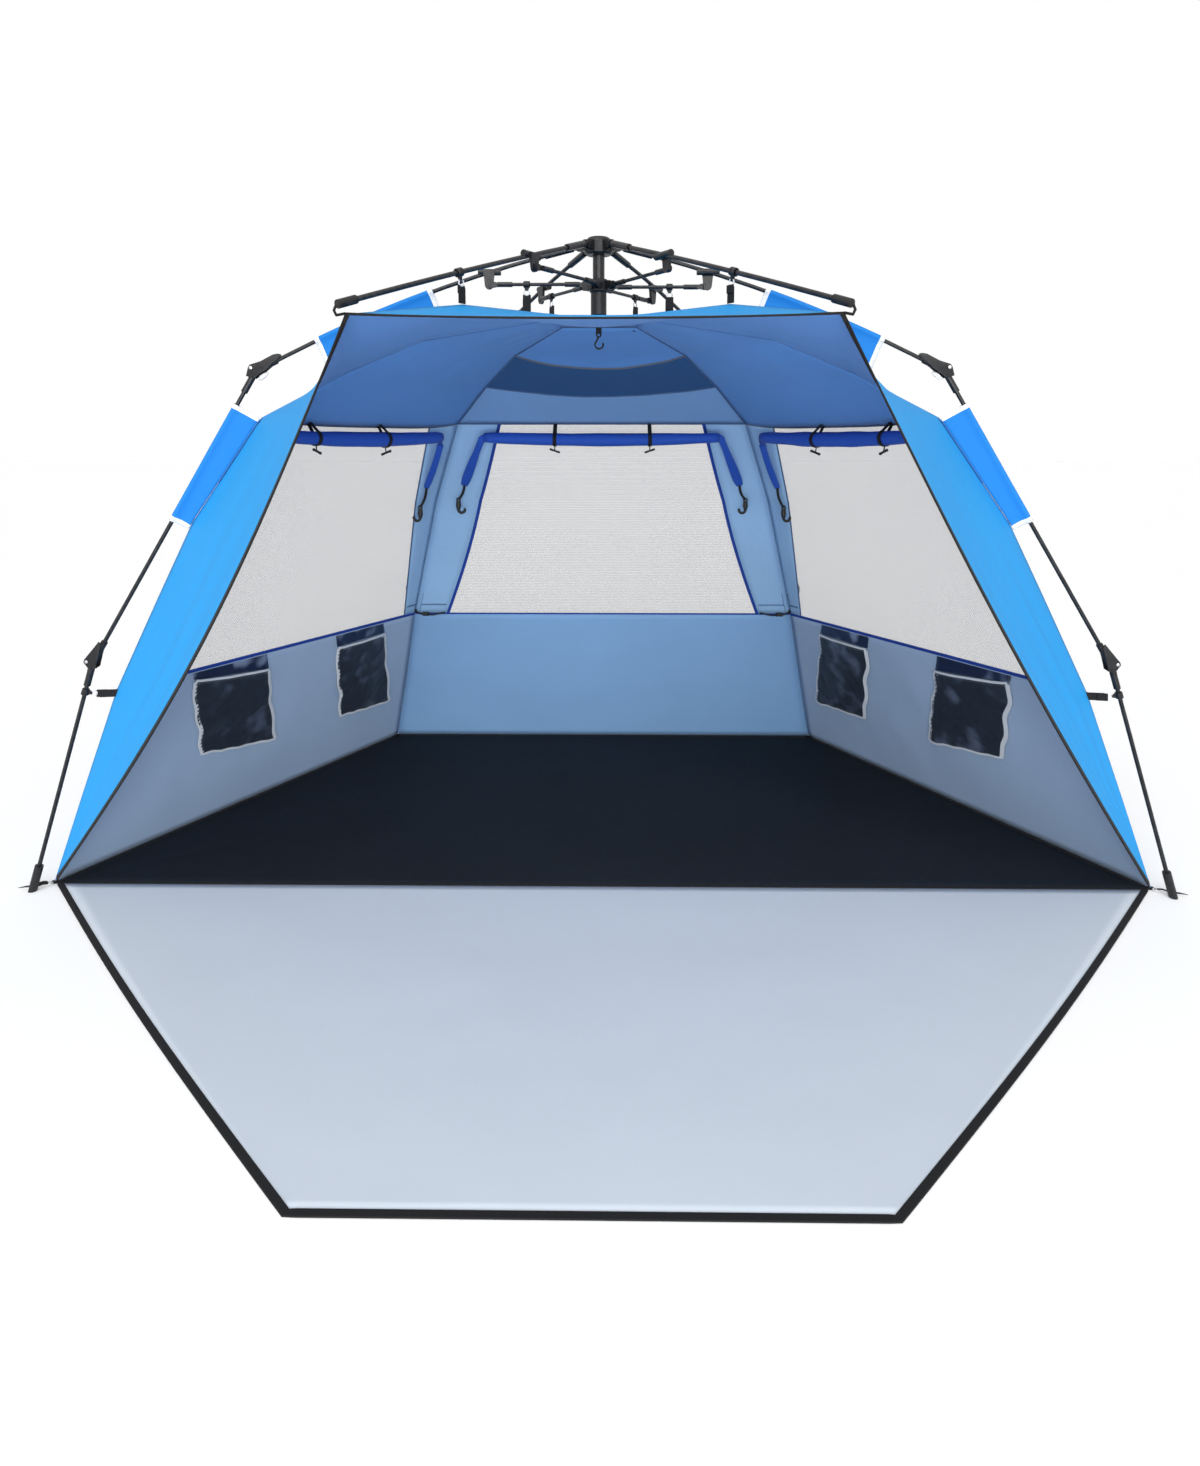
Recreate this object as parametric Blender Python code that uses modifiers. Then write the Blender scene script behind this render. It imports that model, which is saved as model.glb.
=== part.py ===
# Beach tent with an outer folding frame: six arms on a hub, four jointed legs, a runner with six struts,
# a canopy hung inside on straps, three mesh windows, a ground sheet and a mat that zips up as the door.
# Metres, +Z up. The front faces -Y and left is -X. The tent is built round its hub and is then moved so
# that the origin is on the ground in the middle of the whole footprint.
import math

import bmesh
import bpy
from mathutils import Matrix, Vector

for item in list(bpy.data.objects):
    bpy.data.objects.remove(item, do_unlink=True)

# Angles of the frame, seen from above, counted from the front
front_azimuth = math.radians(33.8)
side_azimuth = math.radians(90.0)
rear_azimuth = math.radians(145.7)

# Frame, as radius from the hub's axis and height above the ground
arm_pivot_radius = 0.040
arm_pivot_height = 1.349
elbow_radius = 0.711
elbow_drop = 0.244
elbow_height = arm_pivot_height - elbow_drop
knee_radius = 1.068
knee_height = 0.496
foot_radius = 1.214
awning_tip_radius = 0.648
awning_tip_drop = 0.199
awning_tip_height = arm_pivot_height - awning_tip_drop
arm_end_slope = math.radians(26.7)
awning_arm_bend = math.radians(1.0)
strut_pivot_radius = 0.026
strut_drop = 0.078
strut_level = arm_pivot_height - strut_drop
bracket_radius = 0.216

# Poles and their sockets
pole_radius = 0.00425
strut_rod_radius = 0.0035
fit_gap = 0.0003
socket_wall = 0.0022
socket_length = 0.044
socket_depth = 0.032
knuckle_offset = 0.009
knuckle_reach = 0.008
knuckle_radius = 0.0065
tongue_thickness = 0.0062
cheek_thickness = 0.0030
rivet_radius = 0.0025
rivet_head_radius = 0.0042
rivet_head_height = 0.0012
lug_tail = 0.012
hub_socket_start = 0.012
hub_socket_end = 0.072
hub_socket_radius = 0.0072
eye_radius = 0.0055
eye_thickness = 0.0060
pin_radius = 0.0020
ear_radius = 0.0085
ear_thickness = 0.0032
strut_side_step = 0.013
strut_eye_thickness = 0.0050
strut_rod_shift = 0.0030
strut_socket_radius = 0.0052
strut_inner_socket = 0.030
strut_outer_socket = 0.030
bracket_half_length = 0.023
bracket_lug_thickness = 0.0060
bracket_lug_half_width = 0.0085
strut_outer_eye_radius = 0.0068
tip_cap_length = 0.030
foot_cap_length = 0.060
foot_cap_radius = 0.0085

# Hub, its post, and the runner
crown_radius = 0.0272
crown_top = 0.0205
crown_bottom = 0.017
crown_edge = 0.003
post_radius = 0.012
post_wall = 0.0015
post_length = 0.133
post_bottom_height = arm_pivot_height - post_length
sleeve_radius = 0.016
sleeve_reach = 0.137
sleeve_bottom_height = arm_pivot_height - sleeve_reach
collar_radius = 0.019
collar_half_height = 0.012

# Canopy: it hangs inside the legs' line by an inset, and below the hub by a drop
cloth = 0.0010
seam_gap = 0.00045
floor_thickness = 0.0020
floor_front_place = 0.032
floor_corner_inset = 0.036
rear_corner_inset = 0.030
wall_mid_height = 0.200
wall_mid_inset = 0.0481
wall_top_height = 0.427
wall_top_inset = 0.0653
window_low_share = 0.349
window_low_inset = 0.0656
window_high_share = 0.6215
window_high_inset = 0.0516
hem_drop = 0.346
hem_inset = 0.0758
roof_low_drop = 0.255
roof_low_step = 0.175
roof_high_drop = 0.189
roof_high_step = 0.335
awning_corner_aside = 0.0055
awning_corner_back = 0.0125
awning_corner_drop = 0.212
peak_radius = 0.399
peak_drop = 0.168
crown_half_width = 0.081
crown_front_place = -0.060
crown_side_place = 0.0
crown_rear_place = 0.120
crown_drop = 0.145


def leg_line(height):
    # Radius of the line through the leg's pivots at a height
    if height < knee_height:
        return knee_radius + (knee_height - height) * (foot_radius - knee_radius) / knee_height
    slope = (knee_radius - elbow_radius) / (elbow_height - knee_height)
    return elbow_radius + (elbow_height - height) * slope


floor_front_half_width = leg_line(0.0) - floor_corner_inset
rear_foot_seam_radius = leg_line(0.0) - rear_corner_inset
wall_mid_radius = leg_line(wall_mid_height) - wall_mid_inset
wall_top_radius = leg_line(wall_top_height) - wall_top_inset
hem_height = arm_pivot_height - hem_drop
hem_radius = leg_line(hem_height) - hem_inset
window_low_height = wall_top_height + (hem_height - wall_top_height) * window_low_share
window_low_radius = leg_line(window_low_height) - window_low_inset
window_high_height = wall_top_height + (hem_height - wall_top_height) * window_high_share
window_high_radius = leg_line(window_high_height) - window_high_inset
roof_low_radius = hem_radius - roof_low_step
roof_low_height = arm_pivot_height - roof_low_drop
roof_high_radius = hem_radius - roof_high_step
roof_high_height = arm_pivot_height - roof_high_drop
awning_corner_half_width = awning_tip_radius * math.sin(front_azimuth) - awning_corner_aside
awning_corner_place = awning_corner_back - awning_tip_radius * math.cos(front_azimuth)
awning_corner_height = arm_pivot_height - awning_corner_drop
peak_height = arm_pivot_height - peak_drop
crown_height = arm_pivot_height - crown_drop
corner_strip_width = 0.100
front_strip_top_width = 0.105
front_strip_low_width = 0.165
wall_floor_gap = 0.0025

# Mat that lies in front and zips up as the door
mat_thickness = 0.0015
mat_corner_inset = 0.015
mat_rear_half_width = floor_front_half_width - mat_corner_inset
mat_front_half_width = 0.378
mat_front_place = -0.755
mat_side_bulge = 0.014

mat_hinge_place = floor_front_place - fit_gap

# Rolled window covers, pockets, webbing and the lamp hook
roll_radius = 0.015
roll_end_radius = 0.011
roll_sag = 0.006
roll_below_hem = 0.034
roll_inside = 0.024
pocket_thickness = 0.0040
pocket_wall_gap = 0.0010
front_pocket_low = 0.180
front_pocket_high = 0.390
rear_pocket_low = 0.120
rear_pocket_high = 0.405
seam_hem = 0.0025
seam_step = 0.0020
fin_hem = 0.0080
fold_gap = 0.0008
floor_hem = 0.0060
foot_strap_width = 0.008
webbing_width = 0.014
webbing_thickness = 0.0016
clip_length = 0.018
clip_wall = 0.0036
front_strap_radius = 0.405
side_strap_radius = 0.145
rear_strap_radius = 0.1625
leg_strap_rise = 0.013
leg_strap_height = wall_top_height + leg_strap_rise
leg_clip_rise = 0.003
leg_clip_height = wall_top_height + leg_clip_rise
foot_strap_height = 0.016
fin_top_start = 0.330
fin_elbow_gap = 0.136
fin_top_end = elbow_radius - fin_elbow_gap
fin_below_elbow = 0.075
fin_leg_high = elbow_height - fin_below_elbow
fin_leg_length = 0.224
fin_leg_low = fin_leg_high - fin_leg_length
hook_wire_radius = 0.0022
hook_length = 0.036
hook_bend = 0.0085
hook_webbing_drop = 0.026
hook_webbing_width = 0.012

# Shares along the pieces that they follow
opening_row_shares = (0.0, 0.15, 0.34, 0.52, 0.68, 0.87)
roll_tie_shares = {"left": (0.12, 0.60), "right": (0.12, 0.60), "rear": (0.29, 0.68)}
front_pocket_shares = (0.18, 0.41)
rear_pocket_shares = (0.62, 0.90)
strap_root_share = 0.95
round_sides = 12
pin_sides = 8
arc_steps = 8
lug_steps = 6

places = {
    "front_left": (-1, front_azimuth),
    "front_right": (1, front_azimuth),
    "side_left": (-1, side_azimuth),
    "side_right": (1, side_azimuth),
    "rear_left": (-1, rear_azimuth),
    "rear_right": (1, rear_azimuth),
}
leg_places = [name for name in places if not name.startswith("front")]
side_signs = {"left": -1, "right": 1}

tent_parts = bpy.data.collections.new("beach_tent")
tool_parts = bpy.data.collections.new("cutters")
bpy.context.scene.collection.children.link(tent_parts)
bpy.context.scene.collection.children.link(tool_parts)


def finish(name, colour, roughness, metallic=0.0):
    material = bpy.data.materials.new(name)
    material.use_nodes = True
    shader = material.node_tree.nodes["Principled BSDF"]
    shader.inputs["Base Color"].default_value = (*colour, 1.0)
    shader.inputs["Roughness"].default_value = roughness
    shader.inputs["Metallic"].default_value = metallic
    material.diffuse_color = (*colour, 1.0)
    return material


black_pole = finish("black_pole", (0.012, 0.012, 0.014), 0.35)
black_plastic = finish("black_plastic", (0.016, 0.016, 0.018), 0.5)
bright_cloth = finish("bright_blue_cloth", (0.05, 0.40, 0.95), 0.75)
shade_cloth = finish("wall_cloth", (0.15, 0.26, 0.46), 0.8)
roll_cloth = finish("rolled_cover_cloth", (0.01, 0.05, 0.45), 0.7)
floor_cloth = finish("ground_sheet_cloth", (0.010, 0.013, 0.020), 0.6)
mat_cloth = finish("mat_cloth", (0.52, 0.56, 0.66), 0.8)
window_mesh = finish("window_mesh", (0.62, 0.63, 0.64), 0.8)
pocket_mesh = finish("pocket_mesh", (0.03, 0.03, 0.035), 0.8)


def heading(sign, azimuth):
    return math.atan2(-math.cos(azimuth), sign * math.sin(azimuth))


def outward(sign, azimuth, radius, height):
    return Vector((sign * radius * math.sin(azimuth), -radius * math.cos(azimuth), height))


def add_object(name, data, material, parent=None):
    piece = bpy.data.objects.new(name, data)
    tent_parts.objects.link(piece)
    if not data.materials:
        data.materials.append(material)
    piece.parent = parent
    return piece


def pivot(name, location, slope, turn):
    empty = bpy.data.objects.new(name, None)
    empty.empty_display_size = eye_radius
    empty.location = location
    empty.rotation_euler = (0.0, slope, turn)
    tent_parts.objects.link(empty)
    return empty


def smooth(mesh):
    mesh.shade_smooth()
    mesh.set_sharp_from_angle(angle=math.radians(40.0))
    return mesh


def mesh_of(form, name):
    mesh = bpy.data.meshes.new(name)
    form.to_mesh(mesh)
    form.free()
    return mesh


def rod(start, end, radius, end_radius=None, sides=round_sides):
    start, end = Vector(start), Vector(end)
    along = end - start
    form = bmesh.new()
    middle = Matrix.Translation((start + end) / 2) @ along.to_track_quat("Z", "Y").to_matrix().to_4x4()
    bmesh.ops.create_cone(
        form,
        cap_ends=True,
        segments=sides,
        radius1=radius,
        radius2=radius if end_radius is None else end_radius,
        depth=along.length,
        matrix=middle,
    )
    return mesh_of(form, "rod")


def block(low, high):
    low, high = Vector(low), Vector(high)
    form = bmesh.new()
    bmesh.ops.create_cube(form, size=1.0)
    bmesh.ops.scale(form, vec=high - low, verts=form.verts)
    bmesh.ops.translate(form, vec=(low + high) / 2, verts=form.verts)
    return mesh_of(form, "block")


def evaluated_mesh(thing):
    bpy.context.view_layer.update()
    seen = thing.evaluated_get(bpy.context.evaluated_depsgraph_get())
    mesh = bpy.data.meshes.new_from_object(seen)
    form = bmesh.new()
    form.from_mesh(mesh)
    bmesh.ops.remove_doubles(form, verts=form.verts, dist=pole_radius / 1000)
    form.to_mesh(mesh)
    form.free()
    return mesh


def flat_curve(name, outline, thickness):
    curve = bpy.data.curves.new(name, "CURVE")
    curve.dimensions = "2D"
    curve.fill_mode = "BOTH"
    curve.extrude = thickness / 2
    line = curve.splines.new("POLY")
    line.points.add(len(outline) - 1)
    line.use_cyclic_u = True
    for point, (x, y) in zip(line.points, outline):
        point.co = (x, y, 0.0, 1.0)
    return curve


def plate(outline, side_start, side_end):
    # A flat outline drawn in the leg's own plane (along, outward), with its thickness across that plane
    curve = flat_curve("plate", outline, side_end - side_start)
    thing = bpy.data.objects.new("plate", curve)
    tool_parts.objects.link(thing)
    mesh = evaluated_mesh(thing)
    mesh.transform(Matrix.Rotation(math.radians(90.0), 4, "X"))
    mesh.transform(Matrix.Translation((0.0, (side_start + side_end) / 2, 0.0)))
    bpy.data.objects.remove(thing)
    return mesh


def gathered(meshes, name="gathered"):
    form = bmesh.new()
    for mesh in meshes:
        form.from_mesh(mesh)
    return mesh_of(form, name)


def moved(mesh, matrix):
    copy = mesh.copy()
    copy.transform(matrix)
    return copy


def combined(name, base, steps):
    thing = bpy.data.objects.new(name, base)
    tool_parts.objects.link(thing)
    tools = []
    for operation, mesh in steps:
        tool = bpy.data.objects.new("cutter", mesh)
        tool.hide_render = True
        tool.display_type = "WIRE"
        tool_parts.objects.link(tool)
        change = thing.modifiers.new(operation, "BOOLEAN")
        change.operation = operation
        change.object = tool
        tools.append(tool)
    mesh = evaluated_mesh(thing)
    mesh.name = name
    for tool in [thing, *tools]:
        bpy.data.objects.remove(tool)
    return smooth(mesh)


def turned(name, profile, steps=2 * round_sides):
    # A profile of radius and height, top to bottom, swept round +Z
    mesh = bpy.data.meshes.new(name)
    points = [(radius, 0.0, height) for radius, height in profile]
    mesh.from_pydata(points, [(i, i + 1) for i in range(len(points) - 1)], [])
    thing = bpy.data.objects.new(name, mesh)
    tool_parts.objects.link(thing)
    sweep = thing.modifiers.new("turn", "SCREW")
    sweep.steps = sweep.render_steps = steps
    sweep.use_merge_vertices = True
    sweep.merge_threshold = 0.00001
    result = evaluated_mesh(thing)
    bpy.data.objects.remove(thing)
    return result


def arc(radius, first, last, steps=lug_steps):
    angles = [first + (last - first) * i / steps for i in range(steps + 1)]
    return [(radius * math.cos(a), radius * math.sin(a)) for a in angles]


def lug(radius, tail, low, high):
    # A plate that is round about the pivot and runs back to the socket; tail is negative behind the pivot
    back = -1 if tail < 0 else 1
    nose = arc(radius, math.radians(105.0), math.radians(-120.0))
    return [(tail, high)] + [(-back * x, z) for x, z in nose] + [(tail, low)]


# Turning joint of the legs: a fork with its rivet on the upper pole, and a tongue on the lower one
socket_radius = pole_radius + fit_gap + socket_wall
corner_share = 1 / math.cos(math.pi / pin_sides)
rivet_hole_radius = (rivet_radius + fit_gap) * corner_share
pin_hole_radius = (pin_radius + fit_gap) * corner_share
cheek_inner = tongue_thickness / 2 + fit_gap
cheek_outer = cheek_inner + cheek_thickness


def knuckle_socket(side):
    near = side * knuckle_reach
    far = side * (knuckle_reach + socket_length)
    mouth = far + side * fit_gap
    floor_of_bore = far - side * socket_depth
    body = rod((near, 0.0, -knuckle_offset), (far, 0.0, -knuckle_offset), socket_radius)
    bore = rod((floor_of_bore, 0.0, -knuckle_offset), (mouth, 0.0, -knuckle_offset), pole_radius + fit_gap)
    return body, bore


def knuckle_lug(side):
    # Shouldered at the socket's mouth, so that the two halves can fold flat against each other
    tail = side * (knuckle_reach + lug_tail)
    half = socket_radius - fit_gap
    outline = lug(knuckle_radius, tail, -knuckle_offset - half, -knuckle_offset + half)
    outline.insert(1, (side * knuckle_reach, -knuckle_offset + half))
    return outline


def knuckle_fork():
    # The fork is a moulding of its own, pushed over the end of the upper pole
    body, bore = knuckle_socket(-1)
    cheeks = plate(knuckle_lug(-1), -cheek_outer, cheek_outer)
    slot = block(
        (-knuckle_reach - fit_gap, -cheek_inner, -knuckle_offset - socket_radius),
        (knuckle_radius + fit_gap, cheek_inner, knuckle_radius + fit_gap),
    )
    head = cheek_outer + rivet_head_height
    rivet = rod((0.0, -head, 0.0), (0.0, head, 0.0), rivet_radius, sides=pin_sides)
    heads = gathered(
        [
            rod((0.0, cheek_outer - fit_gap, 0.0), (0.0, head, 0.0), rivet_head_radius),
            rod((0.0, -head, 0.0), (0.0, -cheek_outer + fit_gap, 0.0), rivet_head_radius),
        ]
    )
    steps = [("UNION", cheeks), ("DIFFERENCE", slot), ("DIFFERENCE", bore)]
    steps += [("UNION", rivet), ("UNION", heads)]
    return combined("knuckle_fork", body, steps)


def knuckle_tongue(pole, name):
    # The tongue is moulded onto the lower pole
    body, bore = knuckle_socket(1)
    half = tongue_thickness / 2
    tongue = plate(knuckle_lug(1), -half, half)
    hole = rod((0.0, -cheek_outer, 0.0), (0.0, cheek_outer, 0.0), rivet_hole_radius, sides=pin_sides)
    return combined(name, pole, [("UNION", body), ("UNION", tongue), ("DIFFERENCE", hole)])


# The arms are bent poles: straight inside their sockets, with one even bow between them
def bent_path(length, bend, straight):
    radius = (length - 2 * straight * math.cos(bend)) / (2 * math.sin(bend))
    start_x, start_z = straight * math.cos(bend), straight * math.sin(bend)
    points = [(0.0, 0.0)]
    for i in range(arc_steps + 1):
        tilt = bend - 2 * bend * i / arc_steps
        x = start_x + radius * (math.sin(bend) - math.sin(tilt))
        z = start_z + radius * (math.cos(tilt) - math.cos(bend))
        points.append((x, z))
    points.append((length, 0.0))
    return points


def bent_place(length, bend, straight, along):
    radius = (length - 2 * straight * math.cos(bend)) / (2 * math.sin(bend))
    tilt = math.asin(math.sin(bend) - (along - straight * math.cos(bend)) / radius)
    height = straight * math.sin(bend) + radius * (math.cos(tilt) - math.cos(bend))
    return height, tilt


def tilted(x, z, tilt):
    return Matrix.Translation((x, 0.0, z)) @ Matrix.Rotation(-tilt, 4, "Y")


def pole_mesh(name, path, radius, trim_start, trim_end):
    points = [Vector((x, 0.0, z)) for x, z in path]
    points[0] += (points[1] - points[0]).normalized() * trim_start
    points[-1] += (points[-2] - points[-1]).normalized() * trim_end
    curve = bpy.data.curves.new(name, "CURVE")
    curve.dimensions = "3D"
    curve.bevel_depth = radius
    curve.bevel_resolution = 4
    curve.use_fill_caps = True
    line = curve.splines.new("POLY")
    line.points.add(len(points) - 1)
    for point, place in zip(line.points, points):
        point.co = (*place, 1.0)
    thing = bpy.data.objects.new(name, curve)
    tool_parts.objects.link(thing)
    mesh = evaluated_mesh(thing)
    bpy.data.objects.remove(thing)
    return mesh


def hub_socket_steps(bend):
    # The arm's inner end: an eye on the crown's pin and a tapered socket
    turn = Matrix.Rotation(-bend, 4, "Y")
    half = eye_thickness / 2
    neck = plate(lug(eye_radius, hub_socket_start + lug_tail, -eye_radius, eye_radius), -half, half)
    body = rod((hub_socket_start, 0.0, 0.0), (hub_socket_end, 0.0, 0.0), hub_socket_radius, socket_radius)
    hole = rod((0.0, -eye_thickness, 0.0), (0.0, eye_thickness, 0.0), pin_hole_radius, sides=pin_sides)
    return [("UNION", moved(body, turn)), ("UNION", moved(neck, turn)), ("DIFFERENCE", moved(hole, turn))]


strut_face = strut_side_step - strut_eye_thickness / 2


def bracket_steps(drop, place):
    # A clip on the arm with a lug down to the strut's outer end; drop is the way from the arm to that pivot
    body = rod((-bracket_half_length, 0.0, 0.0), (bracket_half_length, 0.0, 0.0), socket_radius)
    low = -drop
    nose = arc(bracket_lug_half_width, math.radians(0.0), math.radians(-180.0))
    outline = [(-bracket_half_length / 2, 0.0), (bracket_half_length / 2, 0.0)]
    outline += [(x, low + z) for x, z in nose]
    outer = strut_face - fit_gap
    lug_plate = plate(outline, outer - bracket_lug_thickness, outer)
    web = block(
        (-bracket_half_length / 2, 0.0, -socket_radius), (bracket_half_length / 2, outer, socket_radius / 2)
    )
    return [("UNION", moved(mesh, place)) for mesh in (body, web, lug_plate)]


def tip_cap():
    cap = rod((-tip_cap_length, 0.0, 0.0), (pole_radius, 0.0, 0.0), socket_radius)
    bore = rod((-tip_cap_length - fit_gap, 0.0, 0.0), (0.0, 0.0, 0.0), pole_radius + fit_gap)
    return combined("tip_cap", cap, [("DIFFERENCE", bore)])


def foot_cap(length, slope):
    # A boot on the pole's end, cut off level with the ground
    ground_x = length
    body = rod(
        (ground_x - foot_cap_length, 0.0, -knuckle_offset),
        (ground_x + foot_cap_radius, 0.0, -knuckle_offset),
        foot_cap_radius,
    )
    bore = rod(
        (ground_x - foot_cap_length - fit_gap, 0.0, -knuckle_offset),
        (ground_x - foot_cap_length / 3, 0.0, -knuckle_offset), pole_radius + fit_gap,
    )
    mesh = combined("foot_cap", body, [("DIFFERENCE", bore)])
    form = bmesh.new()
    form.from_mesh(mesh)
    ground = (ground_x, 0.0, 0.0)
    down = (math.sin(slope), 0.0, -math.cos(slope))
    everything = form.verts[:] + form.edges[:] + form.faces[:]
    cut = bmesh.ops.bisect_plane(form, geom=everything, plane_co=ground, plane_no=down, clear_outer=True)
    rim = [edge for edge in cut["geom_cut"] if isinstance(edge, bmesh.types.BMEdge)]
    bmesh.ops.holes_fill(form, edges=rim, sides=0)
    bmesh.ops.recalc_face_normals(form, faces=form.faces)
    form.to_mesh(mesh)
    form.free()
    return mesh


def leg_lines():
    end_normal = Vector((math.sin(arm_end_slope), math.cos(arm_end_slope)))
    pivot_place = Vector((arm_pivot_radius, arm_pivot_height))
    arm_end = Vector((elbow_radius, elbow_height)) - knuckle_offset * end_normal
    chord = arm_end - pivot_place
    slope = math.atan2(-chord.y, chord.x)
    shin = Vector((knee_radius - elbow_radius, elbow_height - knee_height))
    lower = Vector((foot_radius - knee_radius, knee_height))
    return {
        "arm_length": chord.length,
        "arm_slope": slope,
        "arm_bend": arm_end_slope - slope,
        "mid_length": shin.length,
        "mid_slope": math.atan2(shin.y, shin.x),
        "low_length": lower.length,
        "low_slope": math.atan2(lower.y, lower.x),
    }


legs = leg_lines()
tip_chord = Vector((awning_tip_radius - arm_pivot_radius, arm_pivot_height - awning_tip_height))
awning_arm_slope = math.atan2(tip_chord.y, tip_chord.x)


def bracket_along(slope):
    return (bracket_radius - arm_pivot_radius) / math.cos(slope)


def bracket_place(length, slope, bend):
    along = bracket_along(slope)
    height, tilt = bent_place(length, bend, hub_socket_end, along)
    level = arm_pivot_height - along * math.sin(slope) + height * math.cos(slope)
    return along, height, tilt, level - strut_level


def arm_mesh(name, length, slope, bend, trim_end):
    along, height, tilt, drop = bracket_place(length, slope, bend)
    pole = pole_mesh(name, bent_path(length, bend, hub_socket_end), pole_radius, hub_socket_end / 2, trim_end)
    steps = hub_socket_steps(bend) + bracket_steps(drop, tilted(along, height, slope))
    return combined(name, pole, steps)


def make_arms():
    trim = knuckle_reach + socket_length - socket_depth + fit_gap
    leg_arm = arm_mesh("leg_arm", legs["arm_length"], legs["arm_slope"], legs["arm_bend"], trim)
    awning_arm = arm_mesh("awning_arm", tip_chord.length, awning_arm_slope, awning_arm_bend, fit_gap)
    fork, cap = knuckle_fork(), tip_cap()
    for place, (sign, azimuth) in places.items():
        is_leg = place in leg_places
        slope = legs["arm_slope"] if is_leg else awning_arm_slope
        location = outward(sign, azimuth, arm_pivot_radius, arm_pivot_height)
        joint = pivot("arm_pivot_" + place, location, slope, heading(sign, azimuth))
        if is_leg:
            add_object("arm_" + place, leg_arm, black_pole, joint)
            piece = add_object("elbow_fork_" + place, fork, black_plastic, joint)
            bend = legs["arm_bend"]
            piece.rotation_euler = (0.0, bend, 0.0)
            piece.location = (legs["arm_length"], 0.0, 0.0)
            piece.location += Vector((math.sin(bend), 0.0, math.cos(bend))) * knuckle_offset
        else:
            add_object("arm_" + place, awning_arm, black_pole, joint)
            piece = add_object("tip_cap_" + place.split("_")[1], cap, black_plastic, joint)
            piece.rotation_euler = (0.0, awning_arm_bend, 0.0)
            piece.location = (tip_chord.length, 0.0, 0.0)


def straight_pole(name, length, trim_end):
    path = [(knuckle_reach + lug_tail, -knuckle_offset), (length, -knuckle_offset)]
    return knuckle_tongue(pole_mesh(name, path, pole_radius, 0.0, trim_end), name)


def make_legs():
    trim = knuckle_reach + socket_length - socket_depth + fit_gap
    mid_pole = straight_pole("mid_pole", legs["mid_length"], trim)
    low_pole = straight_pole("lower_pole", legs["low_length"], foot_cap_length / 3 + fit_gap)
    fork = knuckle_fork()
    foot = foot_cap(legs["low_length"], legs["low_slope"])
    for place in leg_places:
        sign, azimuth = places[place]
        turn = heading(sign, azimuth)
        elbow = outward(sign, azimuth, elbow_radius, elbow_height)
        knee = outward(sign, azimuth, knee_radius, knee_height)
        upper = pivot("elbow_pivot_" + place, elbow, legs["mid_slope"], turn)
        lower = pivot("knee_pivot_" + place, knee, legs["low_slope"], turn)
        add_object("mid_pole_" + place, mid_pole, black_pole, upper)
        piece = add_object("knee_fork_" + place, fork, black_plastic, upper)
        piece.location = (legs["mid_length"], 0.0, 0.0)
        add_object("lower_pole_" + place, low_pole, black_pole, lower)
        add_object("foot_" + place, foot, black_plastic, lower)


def clevis_steps(pivot_radius, level, side_step, inner_radius, thickness):
    # Six pairs of ears with their pins, round the hub's axis
    half_slot = thickness / 2 + fit_gap
    half = half_slot + ear_thickness
    outline = [(inner_radius, ear_radius)]
    outline += [(pivot_radius + x, z) for x, z in arc(ear_radius, math.radians(90.0), math.radians(-90.0))]
    outline += [(inner_radius, -ear_radius)]
    ears = plate(outline, side_step - half, side_step + half)
    slot = block(
        (pivot_radius - ear_radius + ear_thickness / 2, side_step - half_slot, -ear_radius - fit_gap),
        (pivot_radius + ear_radius + fit_gap, side_step + half_slot, ear_radius + fit_gap),
    )
    near, far = (pivot_radius, side_step - half, 0.0), (pivot_radius, side_step + half, 0.0)
    pin = rod(near, far, pin_radius, sides=pin_sides)
    turns = [
        Matrix.Translation((0.0, 0.0, level)) @ Matrix.Rotation(heading(*places[place]), 4, "Z")
        for place in places
    ]
    ears_all = gathered([moved(ears, turn) for turn in turns])
    slots_all = gathered([moved(slot, turn) for turn in turns])
    pins_all = gathered([moved(pin, turn) for turn in turns])
    return [("UNION", ears_all), ("DIFFERENCE", slots_all), ("UNION", pins_all)]


def make_hub():
    centre = pivot("hub_centre", (0.0, 0.0, arm_pivot_height), 0.0, 0.0)
    dome = [
        (0.0, crown_top),
        (crown_radius * math.sin(math.radians(28.0)), crown_top - crown_edge / 3),
        (crown_radius * math.sin(math.radians(52.0)), crown_top - crown_edge),
        (crown_radius * math.sin(math.radians(74.0)), crown_top - 2.6 * crown_edge),
        (crown_radius, crown_top - 4 * crown_edge),
        (crown_radius, crown_edge - crown_bottom),
        (crown_radius - crown_edge, -crown_bottom),
        (0.0, -crown_bottom),
    ]
    steps = clevis_steps(arm_pivot_radius, 0.0, 0.0, crown_radius - crown_edge, eye_thickness)
    crown = combined("hub_crown", turned("crown", dome), steps)
    add_object("hub_crown", crown, black_plastic, centre)
    top = -crown_bottom - fit_gap
    bottom = post_bottom_height - arm_pivot_height
    inner = post_radius - post_wall
    ring = [(inner, top), (post_radius, top), (post_radius, bottom), (inner, bottom), (inner, top)]
    add_object("hub_post", smooth(turned("hub_post", ring)), black_pole, centre)


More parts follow.
